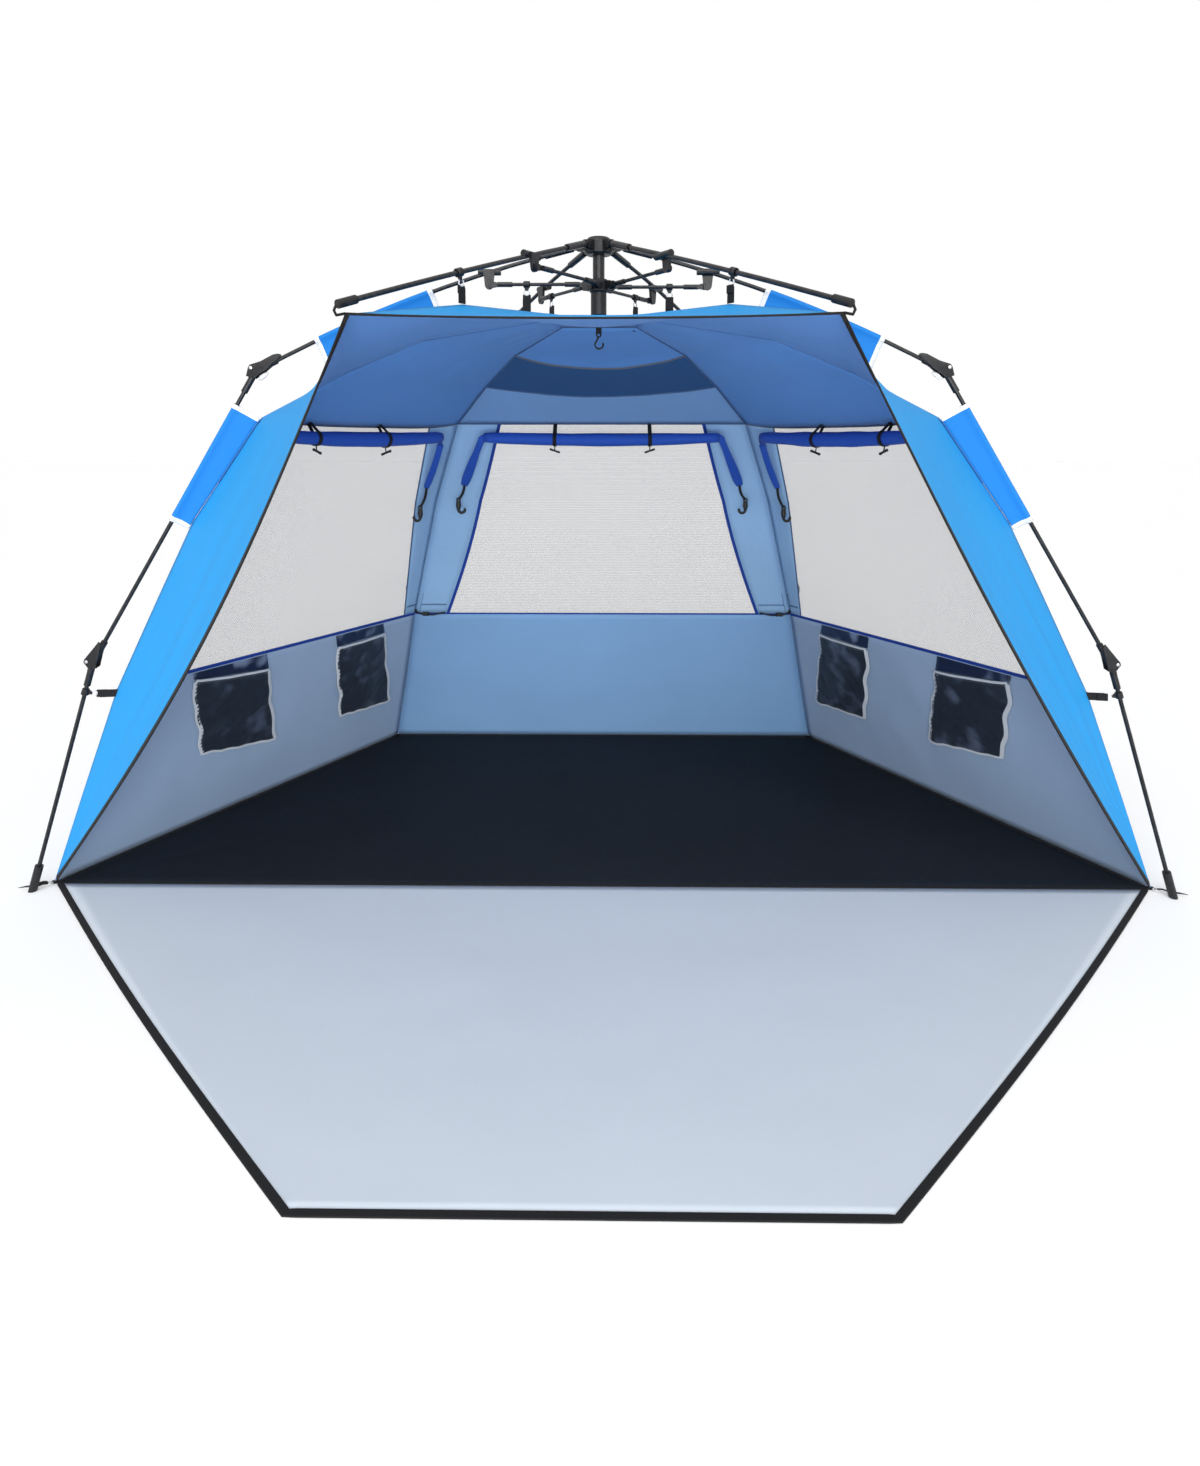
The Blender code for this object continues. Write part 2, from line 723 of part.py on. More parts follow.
def make_runner():
    centre = pivot("runner_centre", (0.0, 0.0, strut_level), 0.0, 0.0)
    bottom = sleeve_bottom_height - strut_level
    inner = post_radius + fit_gap
    ring = [
        (inner, collar_half_height),
        (collar_radius - crown_edge / 2, collar_half_height),
        (collar_radius, collar_half_height - crown_edge / 2),
        (collar_radius, -collar_half_height),
        (sleeve_radius, -collar_half_height - crown_edge),
        (sleeve_radius, bottom),
        (inner, bottom),
        (inner, collar_half_height),
    ]
    root = inner + crown_edge / 2
    steps = clevis_steps(strut_pivot_radius, 0.0, strut_side_step, root, strut_eye_thickness)
    low, high = (0.0, 0.0, bottom - fit_gap), (0.0, 0.0, collar_half_height + fit_gap)
    bore = rod(low, high, inner, sides=2 * round_sides)
    steps.append(("DIFFERENCE", bore))
    body = combined("runner", turned("runner", ring), steps)
    add_object("runner", body, black_plastic, centre)


def make_struts():
    length = bracket_radius - strut_pivot_radius
    half = strut_eye_thickness / 2
    start = hub_socket_start + strut_rod_radius
    inner_eye = plate(lug(eye_radius, start, -strut_rod_radius, strut_rod_radius), -half, half)
    outer = lug(strut_outer_eye_radius, -start, -strut_rod_radius, strut_rod_radius)
    outer_eye = plate([(length + x, z) for x, z in outer], -half, half)
    # The rod stands a little further aside than its eyes, so that it passes the arm as the frame folds
    near, far = hub_socket_start, length - hub_socket_start
    aside = strut_rod_shift
    stem = rod((near + strut_rod_radius, aside, 0.0), (far - strut_rod_radius, aside, 0.0), strut_rod_radius)
    inner_socket = rod((near, aside, 0.0), (near + strut_inner_socket, aside, 0.0), strut_socket_radius)
    outer_socket = rod((far - strut_outer_socket, aside, 0.0), (far, aside, 0.0), strut_socket_radius)
    sockets = gathered([inner_socket, outer_socket])
    head = rod((length, half - fit_gap, 0.0), (length, half + rivet_head_height, 0.0), rivet_head_radius)
    hole = rod((0.0, -eye_thickness, 0.0), (0.0, eye_thickness, 0.0), pin_hole_radius, sides=pin_sides)
    steps = [("UNION", sockets), ("UNION", inner_eye), ("UNION", outer_eye)]
    steps += [("UNION", head), ("DIFFERENCE", hole)]
    mesh = combined("strut", stem, steps)
    for place, (sign, azimuth) in places.items():
        location = outward(sign, azimuth, strut_pivot_radius, strut_level)
        turn = heading(sign, azimuth)
        location += Matrix.Rotation(turn, 3, "Z") @ Vector((0.0, strut_side_step, 0.0))
        joint = pivot("strut_pivot_" + place, location, 0.0, turn)
        add_object("strut_" + place, mesh, black_plastic, joint)


# Canopy. Each panel is a grid of rows between two seams, held off the seams by the seam gap
def between(first, last, share):
    return first + (last - first) * share


def row(points, steps):
    # Points spaced evenly along each stretch between the given ones
    line = []
    for first, last in zip(points, points[1:]):
        line += [between(first, last, i / steps) for i in range(steps)]
    return line + [points[-1]]


def toward(point, other, distance):
    way = other - point
    return point + way * (distance / way.length)


def inset(rows, gap=seam_gap, sides=True, first=True, last=True):
    grid = [list(line) for line in rows]
    if sides:
        for line in grid:
            line[0], line[-1] = toward(line[0], line[1], gap), toward(line[-1], line[-2], gap)
    if first:
        grid[0] = [toward(a, b, gap) for a, b in zip(grid[0], grid[1])]
    if last:
        grid[-1] = [toward(a, b, gap) for a, b in zip(grid[-1], grid[-2])]
    return grid


def sheet(name, rows, material, keep=None, thickness=cloth, sewn_on=()):
    # Rows run from low to high and each row from left to right as seen from outside
    form = bmesh.new()
    corners = [[form.verts.new(point) for point in line] for line in rows]
    for i in range(len(rows) - 1):
        for j in range(len(rows[i]) - 1):
            if keep is None or keep(i, j):
                form.faces.new((corners[i][j], corners[i][j + 1], corners[i + 1][j + 1], corners[i + 1][j]))
    loose = [vertex for vertex in form.verts if not vertex.link_faces]
    bmesh.ops.delete(form, geom=loose, context="VERTS")
    # Both faces of the cloth then fold along the same lines
    bmesh.ops.triangulate(form, faces=form.faces, quad_method="SHORT_EDGE")
    mesh = mesh_of(form, name)
    piece = add_object(name, mesh, material)
    shell = piece.modifiers.new("thickness", "SOLIDIFY")
    shell.thickness = thickness
    shell.offset = 0.0
    for i, sewn in enumerate(sewn_on):
        tool = bpy.data.objects.new(name + "_sewn_" + str(i), sewn)
        tool.hide_render = True
        tool.display_type = "WIRE"
        tool_parts.objects.link(tool)
        join = piece.modifiers.new("sewn", "BOOLEAN")
        join.operation = "UNION"
        join.object = tool
    return piece


wall_heights = (wall_floor_gap + floor_thickness / 2, rear_pocket_low, wall_mid_height, wall_top_height)
window_heights = (wall_top_height, window_low_height, window_high_height, hem_height)
window_radii = (wall_top_radius, window_low_radius, window_high_radius, hem_radius)


def side_seam(sign, radius, height):
    # The seam starts at the ground sheet's front corner and comes into the leg's plane at the hem
    drift = floor_front_place * max(0.0, 1 - height / hem_height)
    return outward(sign, side_azimuth, radius, height) + Vector((0.0, drift, 0.0))


def rear_seam(sign, radius, height):
    return outward(sign, rear_azimuth, radius, height)


def low_radius(at_floor, height):
    return at_floor + (wall_mid_radius - at_floor) * height / wall_mid_height


def wall_rows(sign):
    front_radii = [low_radius(floor_front_half_width, height) for height in wall_heights[:3]]
    front_radii.append(wall_top_radius)
    rear_radii = [low_radius(rear_foot_seam_radius, height) for height in wall_heights[:3]]
    rear_radii.append(wall_top_radius)
    fronts = [side_seam(sign, r, z) for r, z in zip(front_radii, wall_heights)]
    rears = [rear_seam(sign, r, z) for r, z in zip(rear_radii, wall_heights)]
    return fronts, rears


def ordered(sign, first, last):
    # Left to right as seen from outside
    return (first, last) if sign > 0 else (last, first)


def strap_mesh(top, bottom, across, width=webbing_width):
    # A flat strap between two points; across is the way its width lies
    down = bottom - top
    side = (across - down * (across.dot(down) / down.length_squared)).normalized()
    normal = side.cross(down.normalized())
    turn = Matrix((side, down.normalized(), -normal)).transposed().to_4x4()
    half = Vector((width, down.length, webbing_thickness)) / 2
    mesh = block(-half, half)
    mesh.transform(Matrix.Translation((top + bottom) / 2) @ turn)
    return mesh


def clip_mesh(place, along, radius):
    # The clip that holds a strap on a pole, as a short tube round it
    inner = (radius + fit_gap) / math.cos(math.pi / round_sides)
    outer = inner + clip_wall
    half = clip_length / 2
    ring = [(inner, half), (outer, half), (outer, -half), (inner, -half), (inner, half)]
    mesh = turned("clip", ring, round_sides)
    mesh.transform(Matrix.Translation(place) @ along.to_track_quat("Z", "Y").to_matrix().to_4x4())
    return mesh


def clipped_strap(place, along, radius, target, across):
    way = (target - place).normalized()
    start = place + way * (radius + fit_gap + clip_wall * strap_root_share)
    return [clip_mesh(place, along, radius), strap_mesh(start, target, across)]


seam_rows = list(zip(window_radii, window_heights))
seam_rows += [(roof_low_radius, roof_low_height), (roof_high_radius, roof_high_height)]
seam_rows += [(crown_half_width, crown_height), (0.0, crown_height)]
wall_seam_rows = [(floor_front_half_width, 0.0), (wall_mid_radius, wall_mid_height)]


def roof_height(radius):
    for (r0, z0), (r1, z1) in zip(seam_rows, seam_rows[1:]):
        if r1 <= radius <= r0:
            return between(z0, z1, (radius - r0) / (r1 - r0))
    return crown_height


def seam_radius_at(height):
    rows = wall_seam_rows + seam_rows
    for (r0, z0), (r1, z1) in zip(rows, rows[1:]):
        if z0 <= height <= z1:
            return between(r0, r1, (height - z0) / (z1 - z0))
    return floor_front_half_width


def arm_point(slope, length, bend, radius):
    along = (radius - arm_pivot_radius) / math.cos(slope)
    height, tilt = bent_place(length, bend, hub_socket_end, along)
    x = arm_pivot_radius + along * math.cos(slope) + height * math.sin(slope)
    z = arm_pivot_height - along * math.sin(slope) + height * math.cos(slope)
    return x, z, slope - tilt


def pole_radius_at(height):
    # How far the leg's pole stands from the hub's axis at a height, and its slope there
    if height >= knee_height:
        slope = legs["mid_slope"]
        pivot_line = elbow_radius + (elbow_height - height) / math.tan(slope)
    else:
        slope = legs["low_slope"]
        pivot_line = knee_radius + (knee_height - height) / math.tan(slope)
    return pivot_line - knuckle_offset / math.sin(slope), slope


class Spoke:
    # Directions in the upright plane of one arm and its leg
    def __init__(self, place):
        self.sign, self.azimuth = places[place]
        self.turn = Matrix.Rotation(heading(self.sign, self.azimuth), 3, "Z")
        self.radial = self.turn @ Vector((1.0, 0.0, 0.0))
        self.tangent = self.turn @ Vector((0.0, 1.0, 0.0))

    def point(self, radius, height, aside=0.0):
        return self.radial * radius + self.tangent * aside + Vector((0.0, 0.0, height))

    def along(self, slope):
        return self.radial * math.cos(slope) - Vector((0.0, 0.0, math.sin(slope)))


def roof_strap(place, radius):
    # From the strut down to the roof's seam
    spoke = Spoke(place)
    aside = strut_side_step + strut_rod_shift
    top = spoke.point(radius, strut_level, aside)
    bottom = spoke.point(radius, roof_height(radius) - seam_hem, aside)
    return clipped_strap(top, spoke.radial, strut_rod_radius, bottom, spoke.radial)


def leg_strap(place):
    # From the lower pole in to the top of the wall
    spoke = Spoke(place)
    radius, slope = pole_radius_at(leg_clip_height)
    seam = side_seam if place.startswith("side") else rear_seam
    target = seam(spoke.sign, seam_radius_at(leg_strap_height) - 2 * seam_hem, leg_strap_height)
    target += spoke.tangent * seam_aside(place)
    return clipped_strap(
        spoke.point(radius, leg_clip_height), spoke.along(slope), pole_radius, target, spoke.along(slope)
    )


def seam_aside(place):
    # The seams lie right below the poles, so what is sewn there belongs to the panel in front of the seam
    return -seam_step * places[place][0]


def pole_fins(place):
    # Flat fins of cloth from the seam up to the arm, and out to the middle pole
    spoke = Spoke(place)
    over, under = [], []
    for i in range(4):
        radius = between(fin_top_start, fin_top_end, i / 3)
        x, z, slope = arm_point(legs["arm_slope"], legs["arm_length"], legs["arm_bend"], radius)
        over.append((x, z - (pole_radius + fit_gap) / math.cos(slope)))
        under.append((x, roof_height(x) - seam_hem))
    outer, inner = [], []
    for i in range(4):
        height = between(fin_leg_high, fin_leg_low, i / 3)
        radius, slope = pole_radius_at(height)
        outer.append((radius - (pole_radius + fit_gap) / math.sin(slope), height))
        inner.append((seam_radius_at(height) - fin_hem, height))
    aside = seam_aside(place)
    outlines = (over + under[::-1], outer + inner[::-1])
    fins = [plate(line, aside - cloth / 2, aside + cloth / 2) for line in outlines]
    return [moved(fin, spoke.turn.to_4x4()) for fin in fins]


def peak_strap(place):
    spoke = Spoke(place)
    x, z, slope = arm_point(awning_arm_slope, tip_chord.length, awning_arm_bend, front_strap_radius)
    target = spoke.point(peak_radius - 2 * seam_hem, peak_height - seam_hem)
    return clipped_strap(spoke.point(x, z), spoke.along(slope), pole_radius, target, spoke.radial)


def tip_strap(place):
    # From the end of the front arm to the awning's corner
    spoke = Spoke(place)
    corner = Vector((spoke.sign * awning_corner_half_width, awning_corner_place, awning_corner_height))
    tip = spoke.point(awning_tip_radius, awning_tip_height)
    way = (corner - tip).normalized()
    end_slope = awning_arm_slope + awning_arm_bend
    across_share = math.sqrt(1 - way.dot(spoke.along(end_slope)) ** 2)
    clear = (socket_radius + fit_gap + webbing_thickness) / across_share
    inside = Vector((-spoke.sign * webbing_width / 2, seam_hem, 0.0))
    return [strap_mesh(tip + way * clear, corner + inside, Vector((1.0, 0.0, 0.0)), width=foot_strap_width)]


def foot_strap(place):
    # From the boot in to the ground sheet's corner
    spoke = Spoke(place)
    middle = spoke.point(pole_radius_at(foot_strap_height)[0], foot_strap_height)
    seam, corner = rear_seam, rear_foot_seam_radius
    if place.startswith("side"):
        seam, corner = side_seam, floor_front_half_width
    end = seam(spoke.sign, corner + floor_hem / 2, 0.0) + Vector((0.0, 0.0, floor_thickness / 2))
    way = (end - middle).normalized()
    clear = foot_cap_radius / math.sin(legs["low_slope"]) + fit_gap + webbing_thickness
    level = way.cross(Vector((0.0, 0.0, 1.0)))
    return [strap_mesh(middle + way * clear, end, level, width=foot_strap_width)]


window_rows = len(window_heights) - 1


def hem_line(name):
    # The window's top corners, and the same corners one row further up the roof
    rows = rear_panel_points() if name == "rear" else side_panel_points(side_signs[name])
    return rows[window_rows][1:3], rows[window_rows + 1][1:3]


def roll_place(name, share):
    (first, last), (first_up, last_up) = hem_line(name)
    inward = between(first_up, last_up, 0.5) - between(first, last, 0.5)
    inward.z = 0.0
    hang = math.sin(math.pi * share)
    place = between(first, last, share) + inward.normalized() * roll_inside
    place.z -= roll_below_hem + roll_sag * hang
    return place, between(roll_end_radius, roll_radius, hang)


def roll_ties(name):
    # Webbing sewn under the roof that holds the rolled cover up
    (first, last), (first_up, last_up) = hem_line(name)
    ties = []
    for share in roll_tie_shares[name]:
        place, radius = roll_place(name, share)
        hem, roof = between(first, last, share), between(first_up, last_up, share)
        run = Vector((roof.x - hem.x, roof.y - hem.y))
        top = place.copy()
        top.z = hem.z + (roof.z - hem.z) * roll_inside / run.length
        bottom = place + Vector((0.0, 0.0, radius + fit_gap))
        ties.append(strap_mesh(top, bottom, last - first))
    return ties


def make_lower_walls():
    for side, sign in side_signs.items():
        fronts, rears = wall_rows(sign)
        rows = [row(ordered(sign, a, b), 6) for a, b in zip(fronts, rears)]
        sheet("lower_wall_" + side, inset(rows, first=False), shade_cloth)
    lefts = wall_rows(-1)[1]
    rights = wall_rows(1)[1]
    rows = [row((b, a), 3) for a, b in zip(lefts, rights)]
    sheet("lower_wall_rear", inset(rows, first=False), shade_cloth)


def crown_corner(sign, place):
    return Vector((sign * crown_half_width, place, crown_height))


def side_panel_points(sign):
    # Rows of four: side seam, window's front edge, window's rear edge, rear seam
    rows = []
    heights = zip(window_radii, window_heights)
    for radius, height in heights:
        front, rear = side_seam(sign, radius, height), rear_seam(sign, radius, height)
        rise = (height - wall_top_height) / (hem_height - wall_top_height)
        front_strip = between(front_strip_low_width, front_strip_top_width, rise)
        rows.append([front, toward(front, rear, front_strip), toward(rear, front, corner_strip_width), rear])
    share_front = front_strip_top_width / (rows[-1][0] - rows[-1][-1]).length
    share_rear = 1 - corner_strip_width / (rows[-1][0] - rows[-1][-1]).length
    for radius, height in ((roof_low_radius, roof_low_height), (roof_high_radius, roof_high_height)):
        front, rear = side_seam(sign, radius, height), rear_seam(sign, radius, height)
        rows.append([front, between(front, rear, share_front), between(front, rear, share_rear), rear])
    front, rear = crown_corner(sign, crown_side_place), crown_corner(sign, crown_rear_place)
    rows.append([front, between(front, rear, share_front), between(front, rear, share_rear), rear])
    return rows


def rear_panel_points():
    rows = []
    for radius, height in zip(window_radii, window_heights):
        right, left = rear_seam(1, radius, height), rear_seam(-1, radius, height)
        near, far = toward(right, left, corner_strip_width), toward(left, right, corner_strip_width)
        rows.append([right, near, far, left])
    share = corner_strip_width / (rows[-1][0] - rows[-1][-1]).length
    for radius, height in ((roof_low_radius, roof_low_height), (roof_high_radius, roof_high_height)):
        right, left = rear_seam(1, radius, height), rear_seam(-1, radius, height)
        rows.append([right, between(right, left, share), between(right, left, 1 - share), left])
    right, left = crown_corner(1, crown_rear_place), crown_corner(-1, crown_rear_place)
    rows.append([right, between(right, left, share), between(right, left, 1 - share), left])
    return rows


def panel_and_window(panel_name, window_name, rows, sewn_on=()):
    def keep(i, j):
        return i >= window_rows or j != 1

    sheet(panel_name, inset(rows), bright_cloth, keep, sewn_on=sewn_on)
    hole = [line[1:3] for line in rows[: window_rows + 1]]
    mesh_rows = inset(hole, gap=2 * seam_gap, last=True, first=True)
    mesh_rows[0] = inset(hole)[0]
    sheet(window_name, [row(line, 3) for line in mesh_rows], window_mesh)


def make_panels():
    for side, sign in side_signs.items():
        rows = side_panel_points(sign)
        if sign < 0:
            rows = [line[::-1] for line in rows]
        # The struts step aside the same way round, so the straps of the right side lie one panel further back
        place = "rear_" + side
        strap = roof_strap("side_right", side_strap_radius)
        if sign < 0:
            strap = roof_strap(place, rear_strap_radius)
        sewn = strap + leg_strap(place) + pole_fins(place) + roll_ties(side)
        panel_and_window("side_panel_" + side, "window_" + side, rows, sewn)
    sewn = roof_strap("rear_right", rear_strap_radius) + roll_ties("rear")
    panel_and_window("rear_panel", "window_rear", rear_panel_points(), sewn)


def opening_point(sign, share):
    low = Vector((sign * floor_front_half_width, floor_front_place, wall_heights[0]))
    high = Vector((sign * awning_corner_half_width, awning_corner_place, awning_corner_height))
    return between(low, high, share)


def make_wings():
    side_rows = [
        (low_radius(floor_front_half_width, wall_heights[0]), wall_heights[0]),
        (wall_mid_radius, wall_mid_height),
        (wall_top_radius, wall_top_height),
        (window_low_radius, window_low_height),
        (window_high_radius, window_high_height),
        (hem_radius, hem_height),
    ]
    for side, sign in side_signs.items():
        rows = []
        for share, (radius, height) in zip(opening_row_shares, side_rows):
            rows.append([opening_point(sign, share), side_seam(sign, radius, height)])
        # The lowest row is kept a little wide, because the two edges meet at the ground corner
        rows[0][0] = toward(rows[0][0], rows[1][0], webbing_width / 2)
        rows.append([opening_point(sign, 1.0), side_seam(sign, roof_low_radius, roof_low_height)])
        peak = outward(sign, front_azimuth, peak_radius, peak_height)
        rows.append([peak, side_seam(sign, roof_high_radius, roof_high_height)])
        rows.append([crown_corner(sign, crown_front_place), crown_corner(sign, crown_side_place)])
        # The wing folds sharply under the awning's edge, so it stands off that seam a little more
        for line in rows[-3:]:
            line[0] = toward(line[0], line[1], fold_gap)
        grid = [row(ordered(sign, *line), 3) for line in rows]
        place = "side_" + side
        strap = roof_strap(place, side_strap_radius) if sign < 0 else []
        sewn = strap + leg_strap(place) + pole_fins(place)
        sheet("wing_" + side, inset(grid, first=False), bright_cloth, sewn_on=sewn)


def make_awning():
    rows = []
    for sign_pair in (
        lambda s: Vector((s * awning_corner_half_width, awning_corner_place, awning_corner_height)),
        lambda s: outward(s, front_azimuth, peak_radius, peak_height),
        lambda s: crown_corner(s, crown_front_place),
        lambda s: crown_corner(s, crown_side_place),
        lambda s: crown_corner(s, crown_rear_place),
    ):
        rows.append(row((sign_pair(-1), sign_pair(1)), 4))
    sewn = [mesh for place in ("front_left", "front_right") for mesh in peak_strap(place) + tip_strap(place)]
    loop_top = Vector((0.0, 0.0, crown_height))
    loop_bottom = loop_top - Vector((0.0, 0.0, hook_webbing_drop))
    sewn.append(strap_mesh(loop_top, loop_bottom, Vector((1.0, 0.0, 0.0)), width=hook_webbing_width))
    sheet("awning", inset(rows, first=False), bright_cloth, sewn_on=sewn)


def make_floor():
    rear = rear_seam(1, rear_foot_seam_radius + floor_hem, 0.0)
    half_width = floor_front_half_width + floor_hem
    outline = [
        (-half_width, floor_front_place),
        (half_width, floor_front_place),
        (rear.x, rear.y),
        (-rear.x, rear.y),
    ]
    thing = bpy.data.objects.new("ground_sheet", flat_curve("ground_sheet", outline, floor_thickness))
    tool_parts.objects.link(thing)
    flat = evaluated_mesh(thing)
    bpy.data.objects.remove(thing)
    flat.transform(Matrix.Translation((0.0, 0.0, floor_thickness / 2)))
    sewn = [("UNION", mesh) for place in leg_places for mesh in foot_strap(place)]
    add_object("ground_sheet", combined("ground_sheet", flat, sewn), floor_cloth)


def make_mat():
    hinge = pivot("mat_hinge", (0.0, mat_hinge_place, mat_thickness / 2), 0.0, 0.0)
    depth = mat_front_place - mat_hinge_place
    right = []
    for i in range(arc_steps + 1):
        share = i / arc_steps
        bulge = mat_side_bulge * math.sin(math.pi * share)
        right.append((between(mat_rear_half_width, mat_front_half_width, share) + bulge, depth * share))
    outline = right + [(-x, y) for x, y in reversed(right)]
    add_object("door_mat", flat_curve("door_mat", outline, mat_thickness), mat_cloth, hinge)


def make_rolls():
    for name in ("left", "right", "rear"):
        curve = bpy.data.curves.new("window_roll_" + name, "CURVE")
        curve.dimensions = "3D"
        curve.bevel_depth = roll_radius
        curve.bevel_resolution = 4
        curve.use_fill_caps = True
        line = curve.splines.new("POLY")
        line.points.add(arc_steps)
        for i, point in enumerate(line.points):
            place, radius = roll_place(name, i / arc_steps)
            point.co = (*place, 1.0)
            point.radius = radius / roll_radius
        add_object("window_roll_" + name, curve, roll_cloth)


def wall_point(sign, share, height):
    if height <= wall_mid_height:
        rise = height / wall_mid_height
        front = between(floor_front_half_width, wall_mid_radius, rise)
        rear = between(rear_foot_seam_radius, wall_mid_radius, rise)
    else:
        rise = (height - wall_mid_height) / (wall_top_height - wall_mid_height)
        front = rear = between(wall_mid_radius, wall_top_radius, rise)
    return between(side_seam(sign, front, height), rear_seam(sign, rear, height), share)


def make_pockets():
    off_wall = pocket_wall_gap + pocket_thickness / 2
    for side, sign in side_signs.items():
        for word, (start, end), low, high in (
            ("front", front_pocket_shares, front_pocket_low, front_pocket_high),
            ("rear", rear_pocket_shares, rear_pocket_low, rear_pocket_high),
        ):
            rows = []
            for height in (low, wall_mid_height, high):
                near, far = wall_point(sign, start, height), wall_point(sign, end, height)
                rows.append(list(ordered(sign, near, far)))
            across = rows[1][1] - rows[1][0]
            upward = rows[2][0] - rows[0][0]
            shift = -across.cross(upward).normalized() * off_wall
            grid = [[point + shift for point in line] for line in rows]
            sheet("pocket_" + word + "_" + side, grid, pocket_mesh, thickness=pocket_thickness)


def make_hook():
    curve = bpy.data.curves.new("lamp_hook", "CURVE")
    curve.dimensions = "3D"
    curve.bevel_depth = hook_wire_radius
    curve.bevel_resolution = 2
    curve.use_fill_caps = True
    top = crown_height - hook_webbing_drop - fit_gap - hook_wire_radius
    eye = arc(hook_bend * 0.5, math.radians(0.0), math.radians(200.0), 6)
    points = [(x, z + hook_bend) for x, z in reversed(eye)]
    points = [(x, top - hook_bend * 0.5 + (z - hook_bend)) for x, z in points][::-1]
    stem_low = top - hook_length + 2 * hook_bend
    points.append((-hook_bend * 0.2, (points[-1][1] + stem_low) / 2))
    points += [(x, stem_low + z) for x, z in arc(hook_bend, math.radians(170.0), math.radians(400.0), 10)]
    line = curve.splines.new("POLY")
    line.points.add(len(points) - 1)
    for point, (x, z) in zip(line.points, points):
        point.co = (x, 0.0, z, 1.0)
    add_object("lamp_hook", curve, black_plastic)


def centre_footprint():
    bpy.context.view_layer.update()
    graph = bpy.context.evaluated_depsgraph_get()
    depths = []
    for piece in tent_parts.objects:
        if piece.type != "EMPTY":
            seen = piece.evaluated_get(graph)
            depths += [(piece.matrix_world @ vertex.co).y for vertex in seen.to_mesh().vertices]
    middle = (min(depths) + max(depths)) / 2
    for piece in list(tent_parts.objects) + list(tool_parts.objects):
        if piece.parent is None:
            piece.location.y -= middle


make_hub()
make_runner()
make_arms()
make_legs()
make_struts()
make_floor()
make_mat()
make_lower_walls()
make_panels()
make_wings()
make_awning()
make_rolls()
make_pockets()
make_hook()
centre_footprint()
bpy.context.view_layer.update()
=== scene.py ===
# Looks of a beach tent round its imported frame: cloth, mesh, webbing, covers, pockets, floor and light.
# Places are measured from the hub's axis, and make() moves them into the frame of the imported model.
import math

import bpy
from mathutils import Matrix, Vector, noise


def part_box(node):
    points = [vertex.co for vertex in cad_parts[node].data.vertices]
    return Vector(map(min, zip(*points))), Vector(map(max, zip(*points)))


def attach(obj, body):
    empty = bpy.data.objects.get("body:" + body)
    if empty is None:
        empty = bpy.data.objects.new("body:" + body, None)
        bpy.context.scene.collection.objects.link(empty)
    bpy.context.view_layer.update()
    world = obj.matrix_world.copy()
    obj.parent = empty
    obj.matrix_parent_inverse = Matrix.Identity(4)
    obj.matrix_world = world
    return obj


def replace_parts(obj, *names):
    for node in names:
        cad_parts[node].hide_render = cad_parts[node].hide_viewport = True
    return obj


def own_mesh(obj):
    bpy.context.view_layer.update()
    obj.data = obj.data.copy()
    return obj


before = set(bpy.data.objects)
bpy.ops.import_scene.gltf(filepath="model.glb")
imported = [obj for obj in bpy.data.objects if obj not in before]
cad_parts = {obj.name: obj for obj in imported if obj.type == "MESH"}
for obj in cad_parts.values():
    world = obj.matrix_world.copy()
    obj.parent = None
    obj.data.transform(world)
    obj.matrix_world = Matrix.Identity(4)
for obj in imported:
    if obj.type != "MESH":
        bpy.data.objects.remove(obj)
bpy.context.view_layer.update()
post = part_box("hub_post")
hubPlace = (post[0].y + post[1].y) / 2
hubShift = Vector((0.0, hubPlace, 0.0))
signs = {"left": -1, "right": 1}
legs = [(side, sign, kind, kind + "_" + side) for side, sign in signs.items() for kind in ("side", "rear")]
up = Vector((0.0, 0.0, 1.0))
canopyPieces = []

tent = {
    "azimuths": {"front": 33.8, "side": 90.0, "rear": 145.7},
    "levels": [(1.178, 0.0035), (1.107, 0.200), (1.023, 0.427), (0.925, 0.628),
               (0.847, 0.785), (0.695, 1.003), (0.520, 1.094), (0.360, 1.160)],
    "rearFoot": 1.184,
    "floorFront": 0.032,
    "hem": 1.003,
    "wallTop": 0.427,
    "openingShares": (0.0, 0.15, 0.34, 0.52, 0.68, 0.87),
    "openingBow": {-1: 0.044, 1: 0.018},
    "awningCorner": (0.355, -0.526, 1.137),
    "peak": (0.399, 1.181),
    "crown": (0.081, 1.204),
    "crownPlaces": {"front": -0.060, "side": 0.0, "rear": 0.120},
    "cloth": 0.0008,
}
wallLevel, hemLevel, crownLevel = 2, 5, 8


def blend(first, last, share):
    return first + (last - first) * share


def polar(sign, azimuth, radius, height):
    turn = math.radians(azimuth)
    return Vector((sign * radius * math.sin(turn), -radius * math.cos(turn), height))


def openingEdge(sign, level):
    # The zipped edge beside the doorway, which bows in between the ground and the awning's corner
    shares = (*tent["openingShares"], 1.0)
    low = min(int(level), hemLevel)
    share = blend(shares[low], shares[low + 1], level - low)
    x, y, z = tent["awningCorner"]
    foot = Vector((sign * tent["levels"][0][0], tent["floorFront"], tent["levels"][0][1]))
    point = blend(foot, Vector((sign * x, y, z)), share)
    point.x -= sign * tent["openingBow"][sign] * math.sin(math.pi * share)
    return point


